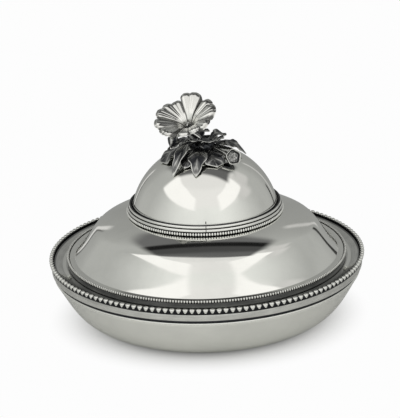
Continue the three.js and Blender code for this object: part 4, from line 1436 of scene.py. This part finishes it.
def length(name, description, default):
    return FloatProperty(name=name, description=description, default=default, unit="LENGTH", precision=5)


def angle_in_degrees(name, description, default):
    return FloatProperty(name=name, description=description, default=math.radians(default),
                         subtype="ANGLE")


class DishSizes(bpy.types.PropertyGroup):
    mouth_radius: length("Mouth radius", "Radius of the bowl at its lip", 0.126)
    foot_radius: length("Base radius", "Radius of the bowl's flat base", 0.0647)
    rim_bead_radius: length("Rim bead radius", "Radius of one large bead", 0.0023)
    crown_radius: length("Crown radius", "Radius of the raised crown", 0.0607)
    crown_rise: length("Crown rise", "Height of the crown over its centre", 0.0612)
    rim_bead_count: IntProperty(name="Rim beads", description="Large beads round the rim", default=152)
    cover_bead_count: IntProperty(name="Cover beads", description="Tiny beads round the cover", default=320)
    crown_bead_count: IntProperty(name="Crown beads", description="Beads at the crown's foot", default=183)
    turning_steps: IntProperty(name="Turning steps", description="Sides of a turned piece", default=240)


def tone(name, description, default):
    return FloatVectorProperty(name=name, description=description, default=default, subtype="COLOR",
                               size=3, min=0, max=1)


class DishFinish(bpy.types.PropertyGroup):
    silver: tone("Silver", "Colour of clean polished silver", (0.9, 0.9, 0.865))
    oxide: tone("Oxide", "Colour of the dark oxide in the hollows", (0.022, 0.023, 0.026))
    brass: tone("Brass", "Colour of the screw fixing", (0.62, 0.5, 0.26))
    sheet_roughness: FloatProperty(name="Sheet roughness", description="Roughness of clean sheet",
                                   default=0.055, min=0, max=1, subtype="FACTOR")
    sheet_wave: length("Sheet wave", "Depth of the hand-worked waves", 0.00005)


class DishStage(bpy.types.PropertyGroup):
    lens: FloatProperty(name="Lens", description="Focal length", default=210.14, unit="CAMERA")
    elevation: angle_in_degrees("Elevation", "Camera angle over the table", 19.762)
    roll: angle_in_degrees("Roll", "Tilt of the camera about its view", -2.0)
    distance: length("Distance", "Camera to the point it looks at", 1.9951)
    target: FloatVectorProperty(name="Target", description="Point that the camera looks at",
                                default=(-0.00421, 0.0, 0.09155), subtype="TRANSLATION", size=3)
    lamp_color: tone("Lamp colour", "Colour of the light panels", (1.0, 0.99, 0.97))
    backdrop: tone("Backdrop", "Colour seen behind the dish", (0.982, 0.982, 0.982))
    floor_color: tone("Floor colour", "Colour of the paper floor", (0.84, 0.84, 0.83))
    shadow_start: length("Shadow start", "Where the floor's shadow starts to fade to white", 0.071)
    shadow_end: length("Shadow end", "Where the floor is as white as the backdrop", 0.130)


class DISH_OT_bowl(bpy.types.Operator):
    """Turns the bowl and its lip wire"""

    bl_idname = "dish.bowl"
    bl_label = "Bowl"
    bl_options = {"REGISTER", "UNDO"}

    def execute(self, context):
        s = Sizes(context.scene.dish_sizes)
        bowl_pieces(s)
        return {"FINISHED"}


class DISH_OT_liner(bpy.types.Operator):
    """Turns the liner and its collar, and sets the large beads on it"""

    bl_idname = "dish.liner"
    bl_label = "Liner"
    bl_options = {"REGISTER", "UNDO"}

    def execute(self, context):
        s = Sizes(context.scene.dish_sizes)
        liner_piece(s)
        collar_piece(s)
        rim_bead_piece(s)
        return {"FINISHED"}


class DISH_OT_cover(bpy.types.Operator):
    """Turns the cover with its edge ring and bezel, and sets the tiny beads on it"""

    bl_idname = "dish.cover"
    bl_label = "Cover"
    bl_options = {"REGISTER", "UNDO"}

    def execute(self, context):
        s = Sizes(context.scene.dish_sizes)
        cover_pieces(s)
        cover_bead_piece(s)
        return {"FINISHED"}


class DISH_OT_crown(bpy.types.Operator):
    """Turns the raised crown and the wires of its mount"""

    bl_idname = "dish.crown"
    bl_label = "Crown"
    bl_options = {"REGISTER", "UNDO"}

    def execute(self, context):
        s = Sizes(context.scene.dish_sizes)
        crown_piece(s)
        mount_pieces(s)
        return {"FINISHED"}


class DISH_OT_fixing(bpy.types.Operator):
    """Makes the stud, washer and nut inside the crown"""

    bl_idname = "dish.fixing"
    bl_label = "Screw fixing"
    bl_options = {"REGISTER", "UNDO"}

    def execute(self, context):
        s = Sizes(context.scene.dish_sizes)
        stud_piece(s)
        washer_piece()
        nut_piece()
        return {"FINISHED"}


class DISH_OT_leaves(bpy.types.Operator):
    """Casts the leaves and the boss under them"""

    bl_idname = "dish.leaves"
    bl_label = "Leaves"
    bl_options = {"REGISTER", "UNDO"}

    def execute(self, context):
        s = Sizes(context.scene.dish_sizes)
        leaf_pieces(s)
        boss_piece(s)
        return {"FINISHED"}


class DISH_OT_flower(bpy.types.Operator):
    """Casts the flower with its eye, calyx and stem"""

    bl_idname = "dish.flower"
    bl_label = "Flower"
    bl_options = {"REGISTER", "UNDO"}

    def execute(self, context):
        s = Sizes(context.scene.dish_sizes)
        petal_pieces(s)
        heart_piece(s)
        calyx_piece(s)
        stem_piece(s)
        return {"FINISHED"}


class DISH_OT_bud_and_pod(bpy.types.Operator):
    """Casts the hanging bud and the seed pod with their twigs"""

    bl_idname = "dish.bud_and_pod"
    bl_label = "Bud and pod"
    bl_options = {"REGISTER", "UNDO"}

    def execute(self, context):
        s = Sizes(context.scene.dish_sizes)
        bud_pieces(s)
        pod_pieces(s)
        return {"FINISHED"}


class DISH_OT_studio(bpy.types.Operator):
    """Sets the camera, the light of the studio and the paper floor"""

    bl_idname = "dish.studio"
    bl_label = "Studio"
    bl_options = {"REGISTER", "UNDO"}

    def execute(self, context):
        stage = context.scene.dish_stage
        studio_camera(stage)
        studio_world(stage)
        studio_tent(stage)
        studio_floor(stage)
        context.scene.view_settings.view_transform = "Standard"
        return {"FINISHED"}


OPERATORS = (
    DISH_OT_studio, DISH_OT_bowl, DISH_OT_liner, DISH_OT_cover, DISH_OT_crown, DISH_OT_fixing,
    DISH_OT_leaves, DISH_OT_flower, DISH_OT_bud_and_pod,
)
GROUPS_OF_VALUES = (("dish_sizes", DishSizes), ("dish_finish", DishFinish), ("dish_stage", DishStage))


class DISH_PT_panel(bpy.types.Panel):
    """Lists the dish's operators and values in the sidebar"""

    bl_label = "Covered vegetable dish"
    bl_idname = "DISH_PT_panel"
    bl_space_type = "VIEW_3D"
    bl_region_type = "UI"
    bl_category = "Dish"

    def draw(self, context):
        for operator in OPERATORS:
            self.layout.operator(operator.bl_idname)
        for holder, kind in GROUPS_OF_VALUES:
            box = self.layout.box()
            for name in kind.__annotations__:
                box.prop(getattr(context.scene, holder), name)


def register():
    for holder, kind in GROUPS_OF_VALUES:
        bpy.utils.register_class(kind)
        setattr(bpy.types.Scene, holder, PointerProperty(type=kind))
    for kind in (*OPERATORS, DISH_PT_panel):
        bpy.utils.register_class(kind)


def unregister():
    for kind in (DISH_PT_panel, *reversed(OPERATORS)):
        bpy.utils.unregister_class(kind)
    for holder, kind in reversed(GROUPS_OF_VALUES):
        delattr(bpy.types.Scene, holder)
        bpy.utils.unregister_class(kind)


def main():
    register()
    for operator in OPERATORS:
        family, name = operator.bl_idname.split(".")
        if getattr(getattr(bpy.ops, family), name)() != {"FINISHED"}:
            raise RuntimeError(operator.bl_label + " could not be made")
    bpy.context.view_layer.update()


if __name__ == "__main__":
    main()
